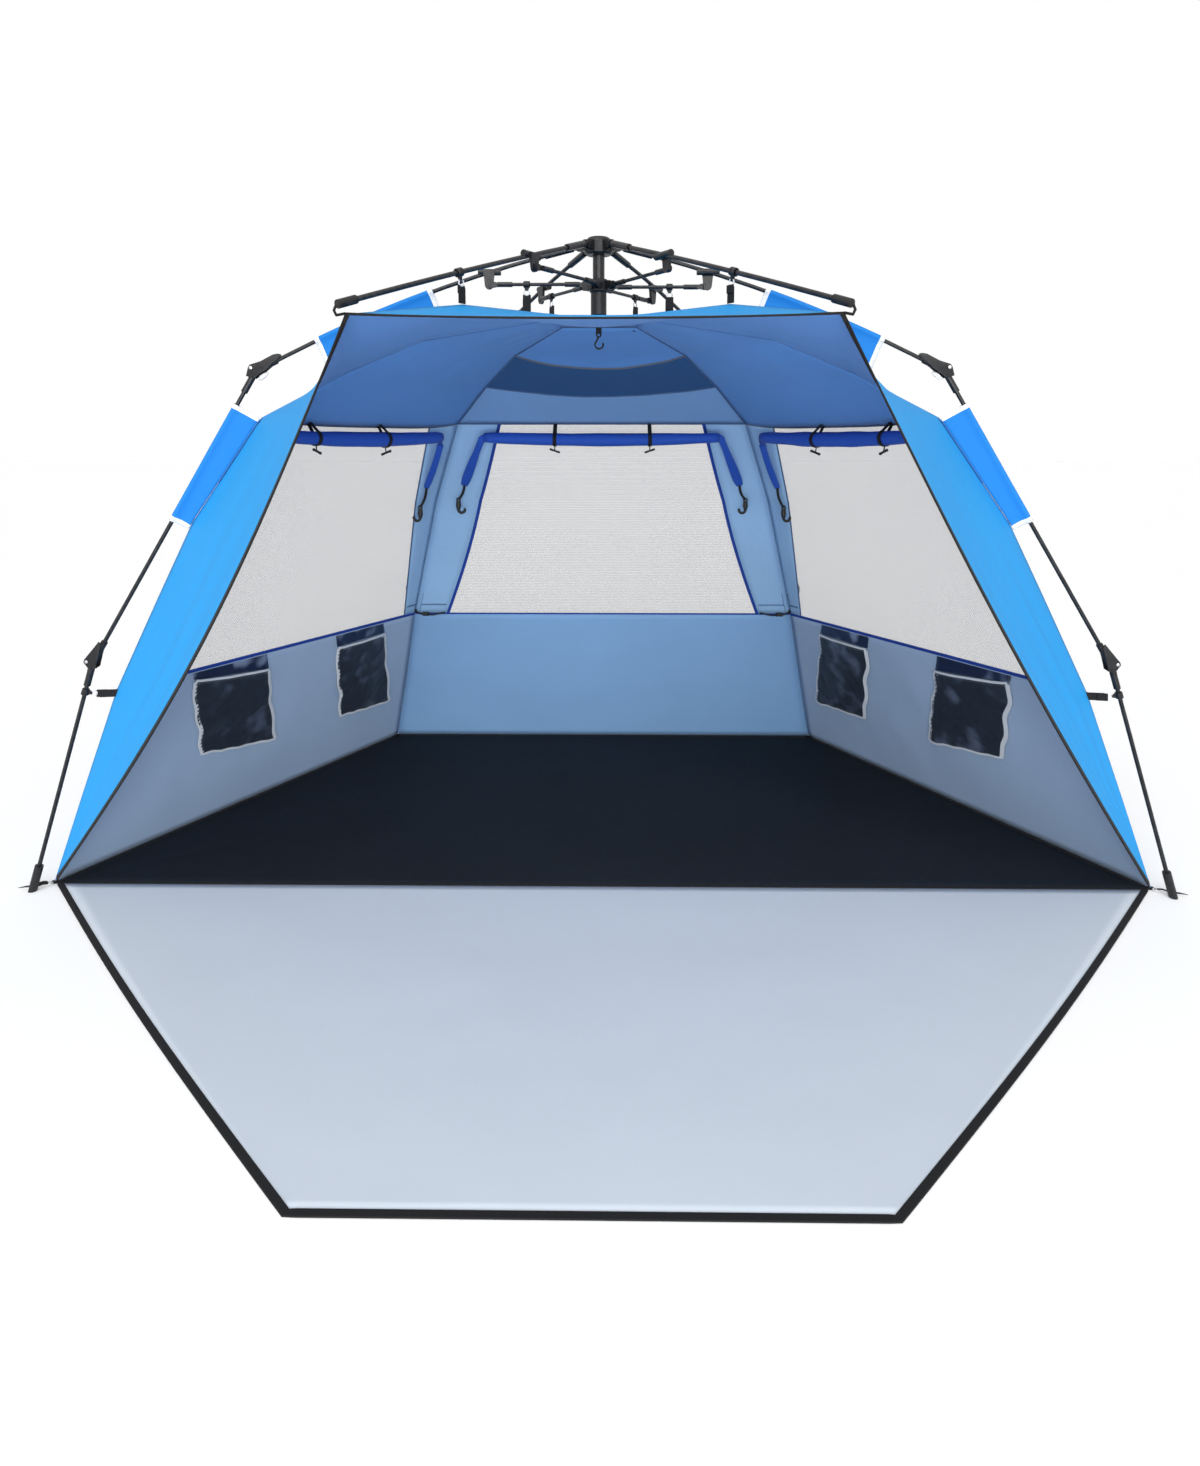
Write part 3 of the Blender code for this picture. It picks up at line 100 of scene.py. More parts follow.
def corner(kind, sign, level):
    if level == crownLevel:
        return Vector((sign * tent["crown"][0], tent["crownPlaces"][kind], tent["crown"][1]))
    if kind == "front":
        if level <= hemLevel + 1:
            return openingEdge(sign, level)
        return polar(sign, tent["azimuths"]["front"], *tent["peak"])
    radius, height = tent["levels"][level]
    if kind == "side":
        drift = tent["floorFront"] * max(0.0, 1 - height / tent["hem"])
        return polar(sign, 90.0, radius, height) + Vector((0.0, drift, 0.0))
    return polar(sign, tent["azimuths"]["rear"], tent["rearFoot"] if level == 0 else radius, height)


def seam(kind, sign, level):
    if kind == "front" and level <= hemLevel + 1:
        return openingEdge(sign, level)
    low = min(int(level), crownLevel - 1)
    return blend(corner(kind, sign, low), corner(kind, sign, low + 1), level - low)


def steps(first, last, count):
    return [blend(first, last, i / count) for i in range(count + 1)]


def toward(point, other, distance):
    way = other - point
    return point + way * (distance / way.length)


def surface(left, right, levels, columns):
    return [[blend(left(s), right(s), u) for u in steps(0, 1, columns)] for s in levels]


def normalAt(rows, i, j):
    i, j = min(max(i, 1), len(rows) - 2), min(max(j, 1), len(rows[0]) - 2)
    return (rows[i][j + 1] - rows[i][j - 1]).cross(rows[i + 1][j] - rows[i - 1][j]).normalized()


# How far each cloth sags and wrinkles, and how many folds it has across and along
folds = {
    "wing": (0.007, 0.004, 7.0, 3.0), "awning": (0.006, 0.004, 4.0, 3.0), "strip": (0.002, 0.002, 2.0, 5.0),
    "roof": (0.008, 0.004, 5.0, 2.0), "rearRoof": (0.010, 0.003, 5.0, 2.0), "sideWall": (0.003, 0.005, 8.0, 2.0),
    "rearWall": (0.003, 0.004, 8.0, 2.0), "floor": (-0.0004, 0.0006, 9.0, 4.0), "mat": (-0.001, 0.0012, 6.0, 4.0),
}


def relax(rows, kind, seed):
    # Pulls the cloth in between its seams and gives it soft folds that fade out at them
    sag, wrinkle, across, along = folds[kind]
    high, wide = len(rows) - 1, len(rows[0]) - 1
    loose = [list(line) for line in rows]
    for i in range(1, high):
        for j in range(1, wide):
            u, v = j / wide, i / high
            pull = 16 * u * (1 - u) * v * (1 - v)
            fade = min(1.0, 3 * math.sqrt(u * (1 - u) * v * (1 - v)))
            fold = noise.noise(Vector((u * across, v * along, seed)))
            fold += 0.5 * noise.noise(Vector((u * across * 2.3, v * along * 2.1, seed + 9)))
            loose[i][j] = rows[i][j] + normalAt(rows, i, j) * (fold * wrinkle * fade - sag * pull)
    return loose


def areaOf(rows):
    total = 0.0
    for low, high in zip(rows, rows[1:]):
        for j in range(len(low) - 1):
            total += (low[j + 1] - low[j]).cross(high[j] - low[j]).length / 2
            total += (high[j] - high[j + 1]).cross(low[j + 1] - high[j + 1]).length / 2
    return total


def wayAt(line, i):
    return line[min(i + 1, len(line) - 1)] - line[max(i - 1, 0)]


def around(centre, first, second, radius, start, end, count):
    # Points on an arc between two angles in degrees
    return [centre + first * (radius * math.cos(a)) + second * (radius * math.sin(a))
            for a in steps(math.radians(start), math.radians(end), count)]


def lengthOf(line):
    return sum((b - a).length for a, b in zip(line, line[1:]))


def circle(radius, sides=10):
    return [(radius * math.cos(a), radius * math.sin(a)) for a in steps(0, 2 * math.pi, sides)[:-1]]


def flat(width, thick):
    w, t, c = width / 2, thick / 2, thick * 0.3
    return [(c - w, -t), (w - c, -t), (w, c - t), (w, t - c), (w - c, t), (c - w, t), (-w, t - c), (-w, c - t)]


class Shape:
    # Gathers swept, flat and round forms into one mesh with its texture map in metres
    def __init__(self):
        self.points, self.faces, self.maps, self.slots = [], [], [], []

    def face(self, corners, places, slot):
        self.faces.append(corners)
        self.maps.append(places)
        self.slots.append(slot)

    def sweep(self, line, section, across=None, slot=0, sizes=None):
        line = [Vector(p) for p in line]
        start, count, along, side = len(self.points), len(section), 0.0, None
        for i, point in enumerate(line):
            way = wayAt(line, i).normalized()
            wish = across[i] if isinstance(across, list) else across
            wish = wish or side or way.orthogonal()
            side = (wish - way * wish.dot(way)).normalized()
            rise = way.cross(side)
            size = sizes[i] if sizes else 1.0
            self.points += [point + side * (x * size) + rise * (y * size) for x, y in section]
            if i:
                reach = along + (point - line[i - 1]).length
                for k in range(count):
                    a, b = start + (i - 1) * count + k, start + (i - 1) * count + (k + 1) % count
                    u, w = k / count, (k + 1) / count
                    self.face((a, b, b + count, a + count), ((along, u), (along, w), (reach, w), (reach, u)), slot)
                along = reach
        last = start + (len(line) - 1) * count
        self.face(tuple(range(start, start + count))[::-1], tuple(section)[::-1], slot)
        self.face(tuple(range(last, last + count)), tuple(section), slot)

    def tube(self, line, radius, slot=0, sides=10, sizes=None):
        self.sweep(line, circle(radius, sides), slot=slot, sizes=sizes)

    def band(self, line, across, width, thick, slot=0, sizes=None):
        self.sweep(line, flat(width, thick), across, slot, sizes)

    def ring(self, centre, axis, radius, wire, slot=0):
        side = axis.orthogonal().normalized()
        turn = axis.normalized().cross(side)
        self.tube(around(centre, side, turn, radius, 0, 360, 20), wire, slot, 8)

    def grid(self, rows, slot=0):
        start, wide = len(self.points), len(rows[0])
        for line in rows:
            self.points += line
        for i in range(len(rows) - 1):
            for j in range(wide - 1):
                a = start + i * wide + j
                b = rows[i][j], rows[i][j + 1], rows[i + 1][j + 1], rows[i + 1][j]
                picked = slot(i, j) if callable(slot) else slot
                self.face((a, a + 1, a + wide + 1, a + wide), tuple((p.x + p.y, p.z) for p in b), picked)

    def make(self, name, looks):
        mesh = bpy.data.meshes.new(name)
        mesh.from_pydata([Vector(p) + hubShift for p in self.points], [], self.faces)
        texture = mesh.uv_layers.new(name="map")
        texture.data.foreach_set("uv", [c for face in self.maps for place in face for c in place])
        mesh.polygons.foreach_set("material_index", self.slots)
        for look in looks:
            mesh.materials.append(paint[look])
        mesh.shade_smooth()
        mesh.set_sharp_from_angle(angle=math.radians(38))
        piece = bpy.data.objects.new(name, mesh)
        bpy.context.scene.collection.objects.link(piece)
        return piece


def clothPiece(name, rows, outer, inner, nodes, thickness=None, zone=0):
    # Where there are several cloths, zone picks the one of each face
    shape = Shape()
    shape.grid(rows, zone)
    inner = inner if isinstance(inner, list) else [inner]
    outer = outer if isinstance(outer, list) else [outer] * len(inner)
    piece = shape.make(name, outer + inner)
    shell = piece.modifiers.new("thickness", "SOLIDIFY")
    shell.thickness = thickness or tent["cloth"]
    shell.offset = 0.0
    shell.material_offset = len(inner)
    width = round(max(lengthOf(line) for line in rows), 3)
    length = round(max(lengthOf(column(rows, j)) for j in (0, len(rows[0]) // 2, -1)), 3)
    area = min(round(areaOf(rows), 4), round(width * length, 4))
    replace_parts(piece, *nodes)
    canopyPieces.append(piece)
    return piece


def edgeBand(shape, rows, edge, width, thick, lift):
    # A flat tape along one edge of the cloth, lifted off it
    if edge in ("left", "right"):
        rows = [column(rows, j) for j in range(len(rows[0]))]
    line, beside = (rows[0], rows[1]) if edge in ("low", "left") else (rows[-1], rows[-2])
    across = [b - a for a, b in zip(line, beside)]
    lifted = [point + wayAt(line, i).cross(across[i]).normalized() * lift for i, point in enumerate(line)]
    shape.band(lifted, across, width, thick)


def column(rows, j):
    return [line[j] for line in rows]


def addTrim(shape, name, looks, body=None):
    piece = shape.make(name, looks)
    if body:
        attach(piece, body)
    else:
        canopyPieces.append(piece)
    return piece


print("stage: materials")


class Wire:
    # A node's output that takes part in sums like a number
    def __init__(self, tree, socket):
        self.tree, self.socket = tree, socket

    def node(self, kind, inputs=None, output=0, **settings):
        made = self.tree.nodes.new(kind)
        for key, value in settings.items():
            setattr(made, key, value)
        for key, value in (inputs or {}).items():
            plug(self.tree, value, made.inputs[key])
        return Wire(self.tree, made.outputs[output])

    def maths(self, operation, first, second=0.0):
        return self.node("ShaderNodeMath", {0: first, 1: second}, operation=operation)

    def __add__(self, other):
        return self.maths("ADD", self, other)

    def __radd__(self, other):
        return self.maths("ADD", other, self)

    def __sub__(self, other):
        return self.maths("SUBTRACT", self, other)

    def __rsub__(self, other):
        return self.maths("SUBTRACT", other, self)

    def __mul__(self, other):
        return self.maths("MULTIPLY", self, other)

    def __rmul__(self, other):
        return self.maths("MULTIPLY", other, self)

    def between(self, low, high):
        return self.node("ShaderNodeMapRange", {0: self, 1: low, 2: high, 3: 0.0, 4: 1.0})

    def colours(self, low, high):
        return self.node("ShaderNodeMix", {0: self, 6: low, 7: high}, output=2, data_type="RGBA")

    def noise(self, scale, detail=3.0):
        return self.node("ShaderNodeTexNoise", {"Vector": self, "Scale": scale, "Detail": detail})

    def wave(self, pitch, direction):
        scale = 2 * math.pi / (20 * pitch)
        return self.node("ShaderNodeTexWave", {"Vector": self, "Scale": scale}, output=1, bands_direction=direction)

    def bump(self, height, distance, strength, normal=None):
        inputs = {"Height": height, "Distance": distance, "Strength": strength}
        if normal:
            inputs["Normal"] = normal
        return self.node("ShaderNodeBump", inputs)


def plug(tree, value, target):
    if isinstance(value, Wire):
        tree.links.new(value.socket, target)
    else:
        target.default_value = value


def rgba(colour, scale=1.0):
    return (*[min(1.0, c * scale) for c in colour], 1.0)


class Look:
    # One material; its sockets are named with underscores for spaces
    def __init__(self, name, **values):
        self.made = bpy.data.materials.new(name)
        self.made.use_nodes = True
        self.tree = self.made.node_tree
        coords = self.tree.nodes.new("ShaderNodeTexCoord")
        self.place, self.along = [Wire(self.tree, coords.outputs[word]) for word in ("Object", "UV")]
        self.finish(**values)

    def finish(self, **values):
        shader = self.tree.nodes["Principled BSDF"]
        for key, value in values.items():
            plug(self.tree, value, shader.inputs[key.replace("_", " ")])
        return self.made


def cloth(name, colour, roughness=0.7, tone=0.07, ripple=0.0035, weave=0.0011, sheen=0.03, shine=0.25):
    look = Look(name, Sheen_Weight=sheen, Sheen_Roughness=0.5, Specular_IOR_Level=shine)
    place = look.place
    fine = place.noise(160.0, 2.0)
    shade = (place.noise(2.2, 4.0) * 0.75 + fine * 0.25).between(0.3, 0.7)
    threads = place.wave(weave, "X") + place.wave(weave, "Y") + place.wave(weave, "Z")
    rippled = place.bump(place.noise(7.0, 2.0), ripple, 0.5)
    return look.finish(Base_Color=shade.colours(rgba(colour, 1 - tone), rgba(colour, 1 + tone)),
                       Normal=place.bump(threads, 0.0002, 0.25, rippled), Roughness=roughness - 0.08 + fine * 0.16)


def tape(name, colour, rib=0.0016, roughness=0.75, stitch=None):
    # Woven tape; its map runs along it in metres, so ribs and stitches follow it
    look = Look(name, Sheen_Weight=0.02, Specular_IOR_Level=0.25)
    ribs = look.along.wave(rib, "X")
    tint = ribs.colours(rgba(colour, 0.8), rgba(colour, 1.15))
    if stitch:
        run = look.along.wave(0.0045, "X").between(0.45, 0.55)
        rail = look.along.wave(0.25 / 20, "Y").between(0.93, 0.97)
        tint = (run * rail).colours(tint, rgba(stitch))
    place = look.place
    return look.finish(Base_Color=tint, Normal=place.bump(ribs + place.noise(900.0), 0.0003, 0.5),
                       Roughness=roughness - 0.1 + place.noise(60.0) * 0.2)


def plastic(name, colour, roughness=0.42, grain=0.00012):
    look = Look(name, Specular_IOR_Level=0.35)
    speck = look.place.noise(90.0, 5.0)
    return look.finish(Base_Color=speck.between(0.35, 0.75).colours(rgba(colour), rgba(colour, 2.2)),
                       Roughness=roughness + (speck - 0.5) * 0.3,
                       Normal=look.place.bump(look.place.noise(1400.0, 2.0), grain, 0.4))


def rod(name, colour):
    # Wound glass-fibre rod: fine slanted bands under a satin coat; the bands are the real winding, painted lighter in
    # part as a painted sheen
    look = Look(name, Coat_Weight=0.1, Coat_Roughness=0.3, Specular_IOR_Level=0.35)
    winding = look.place.wave(0.011, "DIAGONAL")
    scuff = look.place.noise(35.0, 5.0).between(0.55, 0.8)
    # The winding's bands are lighter in the base colour, partly a painted sheen
    tint = winding.colours(rgba(colour), rgba(colour, 2.6))
    return look.finish(Base_Color=(scuff * 0.4).colours(tint, (0.045, 0.045, 0.048, 1.0)),
                       Roughness=0.33 + scuff * 0.25, Normal=look.place.bump(winding, 0.0002, 0.35))


def metal(name, colour, roughness=0.3):
    look = Look(name, Metallic=1.0)
    worn = look.place.noise(120.0, 4.0)
    return look.finish(Base_Color=worn.colours(rgba(colour, 0.8), rgba(colour, 1.1)), Roughness=roughness + worn * 0.2)


def windowNet(name, colour, clear, pitch):
    look = Look(name, Roughness=0.8)
    place = look.place
    holes = place.wave(pitch, "X") * place.wave(pitch, "Z") * place.wave(pitch, "Y")
    soft = place.noise(3.0, 2.0)
    return look.finish(Base_Color=soft.colours(rgba(colour, 0.9), rgba(colour, 1.1)),
                       Alpha=1 - clear + 0.08 - holes * 0.32 + (soft - 0.5) * 0.04)


def pocketNet(name):
    # Black open mesh; on its creases the base colour is painted lighter as a painted highlight, a wet-looking shine
    look = Look(name, Sheen_Weight=0.05)
    place = look.place
    crease = place.noise(13.0, 2.0)
    threads = place.wave(0.0022, "X") * place.wave(0.0022, "Z")
    shine = crease.between(0.54, 0.72)
    dark = threads.colours((0.012, 0.020, 0.036, 1.0), (0.034, 0.048, 0.075, 1.0))
    # Painted highlight: the shine mask lightens the base colour on the creases
    return look.finish(Base_Color=(shine * 0.85).colours(dark, (0.11, 0.145, 0.22, 1.0)), Roughness=0.5 - shine * 0.15,
                       Normal=place.bump(threads, 0.0004, 0.5, place.bump(crease, 0.02, 0.7)),
                       Alpha=0.93 - threads * 0.25)


def coatedCloth(name):
    # The cloth above the pockets, with broad folds that are glossier and carry a painted highlight in their base colour
    look = Look(name, Coat_Roughness=0.2, Specular_IOR_Level=0.5)
    place = look.place
    fold = place.noise(16.0, 1.0)
    shine = fold.between(0.52, 0.66)
    grain = place.bump(place.noise(220.0, 3.0), 0.0003, 0.4)
    # Painted highlight: the base colour is lightened on the folds
    return look.finish(Base_Color=shine.colours((0.012, 0.022, 0.060, 1.0), (0.20, 0.26, 0.40, 1.0)),
                       Roughness=0.38 - shine * 0.1, Coat_Weight=0.3 + shine * 0.3,
                       Normal=place.bump(fold, 0.01, 0.8, grain))


paint = {
    "bright": cloth("bright_cloth", (0.016, 0.295, 0.70), tone=0.04, sheen=0.0),
    "sleeve": cloth("sleeve_cloth", (0.010, 0.19, 0.57), tone=0.05, sheen=0.0),
    # The inner faces are the same blue cloth as bright; the inner colours of the awning, the roofs, the roof band, the
    # corner strips and the walls are that cloth painted lighter or darker, panel by panel, for the light and shade that
    # fall on each inside the tent, and the awning's is painted darker than the roof's to even out the extra light on it
    "awning": cloth("awning_inside", (0.080, 0.220, 0.53)),
    "roof": cloth("roof_inside", (0.088, 0.245, 0.59)),
    "band": cloth("roof_band", (0.16, 0.32, 0.60)),
    "vent": cloth("vent_mesh", (0.018, 0.075, 0.21), weave=0.0024),
    "strip": cloth("corner_strip", (0.28, 0.475, 0.73), tone=0.12, ripple=0.009),
    # Painted shade: a darker strip colour laid along the corner seams, where the fold shades them
    "fold": cloth("corner_fold", (0.15, 0.28, 0.48)),
    "rearWall": cloth("rear_wall_inside", (0.20, 0.37, 0.62)),
    "sideWall": cloth("side_wall_inside", (0.315, 0.43, 0.60)),
    "floor": cloth("ground_sheet", (0.0085, 0.0118, 0.0175), tone=0.2, ripple=0.008, sheen=0.0, shine=0.14),
    "mat": cloth("mat", (0.58, 0.64, 0.71), tone=0.02, ripple=0.003),
    "roll": cloth("rolled_cover", (0.016, 0.075, 0.42), ripple=0.006),
    "netting": windowNet("window_netting", (0.50, 0.50, 0.50), 0.74, 0.0021),
    "header": coatedCloth("pocket_header"),
    "pocket": pocketNet("pocket_netting"),
    "piping": tape("blue_piping", (0.012, 0.048, 0.30), 0.003),
    "blackTape": tape("black_tape", (0.006, 0.006, 0.007)),
    "webbing": tape("black_webbing", (0.006, 0.006, 0.007), 0.0022, stitch=(0.03, 0.03, 0.033)),
    "seamTape": tape("seam_tape", (0.06, 0.12, 0.26), 0.002, stitch=(0.02, 0.04, 0.10)),
    "hemTape": tape("hem_tape", (0.12, 0.14, 0.18), 0.002),
    "whiteTape": tape("white_tape", (0.86, 0.86, 0.85), 0.0018, stitch=(0.6, 0.6, 0.62)),
    "silverTape": tape("silver_tape", (0.62, 0.67, 0.72), 0.0025, roughness=0.5),
    "plastic": plastic("black_moulding", (0.006, 0.006, 0.007)),
    "buckle": plastic("grey_buckle", (0.45, 0.45, 0.46), 0.4),
    "rod": rod("black_rod", (0.005, 0.005, 0.006)),
    "steel": metal("bright_steel", (0.62, 0.62, 0.63)),
}
rodNames = ("arm", "mid_pole", "lower_pole", "strut", "hub_post")
for name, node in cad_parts.items():
    for slot in node.material_slots:
        slot.material = paint["rod" if name.startswith(rodNames) else "plastic"]


print("stage: wings")


def bothWays(sign, first, last):
    return (first, last) if sign > 0 else (last, first)


wingLevels = steps(0.06, crownLevel, 88)
wings = {}
for side, sign in signs.items():
    left, right = bothWays(sign, "front", "side")
    rows = surface(lambda s: seam(left, sign, s), lambda s: seam(right, sign, s), wingLevels, 26)
    wings[side] = relax(rows, "wing", 3.0 + sign)
    clothPiece("cloth_wing_" + side, wings[side], "bright", "roof", ["wing_" + side])


print("stage: awning and roof")
awning = {
    "keys": [("front", 6), ("front", 7), ("front", 8), ("side", 8), ("rear", 8)], "cuts": (16, 13, 4, 6), "columns": 34,
    # The front edge droops a little between the arms, and the roof dips between its two front peaks
    "droop": 0.006, "droopRows": 20, "dip": 0.030, "dipRow": 16, "dipReach": 12,
}
ends = []
for (kindA, levelA), (kindB, levelB), cuts in zip(awning["keys"], awning["keys"][1:], awning["cuts"]):
    for share in steps(0, 1, cuts)[:-1]:
        ends.append([blend(corner(kindA, s, levelA), corner(kindB, s, levelB), share) for s in (-1, 1)])
ends.append([corner("rear", s, 8) for s in (-1, 1)])
awningRows = [[blend(a, b, u) for u in steps(0, 1, awning["columns"])] for a, b in ends]
for i, line in enumerate(awningRows):
    near = max(0.0, 1 - abs(i - awning["dipRow"]) / awning["dipReach"])
    for j, point in enumerate(line):
        u = j / awning["columns"]
        if i < awning["droopRows"]:
            point.z -= awning["droop"] * 4 * u * (1 - u) * (1 - i / awning["droopRows"])
        point.z -= awning["dip"] * near * math.sin(math.pi * u)
awningRows = relax(awningRows, "awning", 11.0)
clothPiece("cloth_awning", awningRows, "bright", "awning", ["awning"])


print("stage: side and rear panels")
# Each corner strip's width at the wall's top and at the roof's hem
strips = {"front": (0.135, 0.105), "rear": (0.048, 0.115), "back": (0.102, 0.114), "bulge": 0.020}
hem = {"hang": 0.014, "rows": 7, "columns": 30}
piped = {"width": 0.005, "thick": 0.0014}
netCloth = 0.0004


def windowEdge(sign, edge, level):
    # The upright edges of the windows; the rear window's are curved
    height = seam("side", sign, level).z
    rise = (height - tent["wallTop"]) / (tent["hem"] - tent["wallTop"])
    reach = blend(*strips[edge], rise)
    if edge == "back":
        reach += strips["bulge"] * math.sin(math.pi * rise)
        return toward(seam("rear", sign, level), seam("rear", -sign, level), reach)
    first, last = ("side", "rear") if edge == "front" else ("rear", "side")
    return toward(seam(first, sign, level), seam(last, sign, level), reach)


stripLevels = steps(wallLevel, hemLevel, 33)
roofLevels = steps(hemLevel, crownLevel, 24)
roofBows = {5: 0.0, 6: 0.17, 7: 0.31, 8: 0.0}


def bowed(level, share):
    # The vent's edges in the rear roof bow down in the middle
    low = min(int(level), 7)
    bow = blend(roofBows[low], roofBows[low + 1], level - low)
    return level - bow * math.sin(math.pi * share)


roofInside = {}
for side, sign in signs.items():
    frontStrip = surface(lambda s: seam("side", sign, s), lambda s: windowEdge(sign, "front", s), stripLevels, 6)
    rearStrip = surface(lambda s: windowEdge(sign, "rear", s), lambda s: seam("rear", sign, s), stripLevels, 5)
    roof = surface(lambda s: seam("side", sign, s), lambda s: seam("rear", sign, s), roofLevels, hem["columns"])
    netting = surface(lambda s: windowEdge(sign, "front", s), lambda s: windowEdge(sign, "rear", s), stripLevels, 26)
    panels = [frontStrip, rearStrip, roof, netting]
    if sign < 0:
        panels = [[line[::-1] for line in rows] for rows in panels]
    frontStrip, rearStrip, roof, netting = panels
    frontStrip = relax(frontStrip, "strip", 21 + sign)
    rearStrip = relax(rearStrip, "strip", 24 + sign)
    for i in range(hem["rows"]):
        for j, point in enumerate(roof[i]):
            point.z -= hem["hang"] * (1 - i / hem["rows"]) * (1 - abs(2 * j / hem["columns"] - 1) ** 4)
    roof = relax(roof, "roof", 27 + sign)
    roofInside[side] = roof
    for name, rows, look in (("strip_front_", frontStrip, "strip"), ("strip_rear_", rearStrip, "strip"),
                             ("roof_", roof, "roof")):
        clothPiece(name + side, rows, "bright", look, ["side_panel_" + side])
    clothPiece("netting_" + side, netting, "netting", "netting", ["window_" + side], thickness=netCloth)
    edges = Shape()
    for strip, edge in zip((frontStrip, rearStrip), bothWays(sign, "right", "left")):
        edgeBand(edges, strip, edge, piped["width"], piped["thick"], 0)
    canopyPieces.append(edges.make("window_piping_" + side, ["seamTape"]))

rightStrip = surface(lambda s: seam("rear", 1, s), lambda s: windowEdge(1, "back", s), stripLevels, 5)
leftStrip = surface(lambda s: windowEdge(-1, "back", s), lambda s: seam("rear", -1, s), stripLevels, 5)
rightStrip = relax(rightStrip, "strip", 31)
leftStrip = relax(leftStrip, "strip", 33)
rearRoof = [[blend(seam("rear", 1, bowed(s, u)), seam("rear", -1, bowed(s, u)), u) for u in steps(0, 1, 40)]
            for s in roofLevels]
rearRoof = relax(rearRoof, "rearRoof", 35)
backNetting = surface(lambda s: windowEdge(1, "back", s), lambda s: windowEdge(-1, "back", s), stripLevels, 30)


def roofZone(i, j):
    level = hemLevel + i / 8
    return 0 if level < 6 else 1 if level < 7 else 2


for side, strip in (("right", rightStrip), ("left", leftStrip)):
    clothPiece("strip_back_" + side, strip, "bright", "strip", ["rear_panel"])
clothPiece("roof_rear", rearRoof, "bright", ["band", "vent", "roof"], ["rear_panel"], zone=roofZone)
clothPiece("netting_rear", backNetting, "netting", "netting", ["window_rear"], thickness=netCloth)


print("stage: lower walls, ground sheet and mat")
wallLevels = steps(0, wallLevel, 22)
walls = {}
for side, sign in signs.items():
    left, right = bothWays(sign, "side", "rear")
    rows = surface(lambda s: seam(left, sign, s), lambda s: seam(right, sign, s), wallLevels, 44)
    walls[side] = relax(rows, "sideWall", 41 + sign)
    clothPiece("cloth_wall_" + side, walls[side], "bright", "sideWall", ["lower_wall_" + side])
rows = surface(lambda s: seam("rear", 1, s), lambda s: seam("rear", -1, s), wallLevels, 44)
walls["rear"] = relax(rows, "rearWall", 45)
clothPiece("cloth_wall_rear", walls["rear"], "bright", "rearWall", ["lower_wall_rear"])

ground = {"front": 1.184, "rear": 1.190, "height": 0.0012, "thick": 0.0016, "border": 0.008, "borderThick": 0.0022}
frontEnd = Vector((ground["front"], tent["floorFront"], ground["height"]))
rearEnd = polar(1, tent["azimuths"]["rear"], ground["rear"], ground["height"])
rows = []
for v in steps(0, 1, 40):
    edge = blend(frontEnd, rearEnd, v)
    rows.append([Vector((edge.x * u, edge.y, edge.z)) for u in steps(-1, 1, 70)])
rows = relax(rows, "floor", 51)
clothPiece("cloth_floor", rows, "floor", "floor", ["ground_sheet"], ground["thick"])
border = Shape()
loop = rows[0] + column(rows, -1)[1:] + rows[-1][::-1][1:] + column(rows, 0)[::-1][1:-1]
across = [up.cross(b - a) for a, b in zip(loop, loop[1:] + loop[:1])]
border.band([p + up * 0.0004 for p in loop], across, ground["border"], ground["borderThick"])
canopyPieces.append(border.make("floor_binding", ["blackTape"]))

mat = {
    "rear": 1.163, "front": 0.378, "place": -0.755, "hinge": 0.0317, "clear": 0.004, "bulge": 0.014,
    "height": 0.0009, "thick": 0.0014, "border": 0.012, "borderThick": 0.0026,
}


def matHalf(share):
    return blend(mat["rear"], mat["front"], share) + mat["bulge"] * math.sin(math.pi * share)


rows = []
for v in steps(1, 0, 42):
    y = blend(mat["hinge"] - mat["clear"], mat["place"], v)
    rows.append([Vector((matHalf(v) * u, y, mat["height"])) for u in steps(-1, 1, 60)])
matRows = relax(rows, "mat", 55)


print("stage: camera, light and floor")
view = {"place": (0.0225, -1.762, 0.954), "pitch": 3.0, "yaw": 0.644, "lens": 21.04, "shift": -0.168}
lens = bpy.data.cameras.new("camera")
lens.lens = view["lens"]
lens.sensor_width = 36.0
lens.shift_y = view["shift"]
camera = bpy.data.objects.new("camera", lens)
camera.location = (view["place"][0], view["place"][1] + hubPlace, view["place"][2])
camera.rotation_euler = (math.radians(90 - view["pitch"]), 0.0, math.radians(view["yaw"]))
bpy.context.scene.collection.objects.link(camera)
bpy.context.scene.camera = camera


studio = {
    "world": 0.5, "white": 1.0, "floor": 0.9, "topUp": 0.15, "half": 40.0, "low": -0.0005,
    # Where each sun comes from, its strength and its spread in degrees
    "suns": {"key": ((-0.35, -0.55, 0.75), 0.9, 30), "front": ((0.10, -0.93, 0.35), 2.0, 50)},
    "bounce": {"place": (0.0, -2.1, 0.25), "target": (0.0, 0.0, 1.1), "size": 1.6, "power": 32},
}


def addLamp(name, kind, strength, way):
    light = bpy.data.lights.new(name, kind)
    light.energy = strength
    lamp = bpy.data.objects.new(name, light)
    lamp.rotation_euler = way.to_track_quat("-Z", "Y").to_euler()
    bpy.context.scene.collection.objects.link(lamp)
    return lamp


for name, (source, strength, spread) in studio["suns"].items():
    addLamp(name, "SUN", strength, -Vector(source)).data.angle = math.radians(spread)
bounce = studio["bounce"]
lamp = addLamp("bounce", "AREA", bounce["power"], Vector(bounce["target"]) - Vector(bounce["place"]))
lamp.data.shape = "DISK"
lamp.data.size = bounce["size"]
lamp.location = bounce["place"]
lamp.visible_camera = False


def shownWhite(tree):
    # 1 where the camera, a reflection or a clear surface looks at the backdrop, 0 for the light it gives
    path = tree.nodes.new("ShaderNodeLightPath")
    camera, glossy, through = [Wire(tree, path.outputs["Is " + word + " Ray"])
                               for word in ("Camera", "Glossy", "Transmission")]
    seen = camera + glossy + through
    return seen.maths("MINIMUM", seen, 1.0)


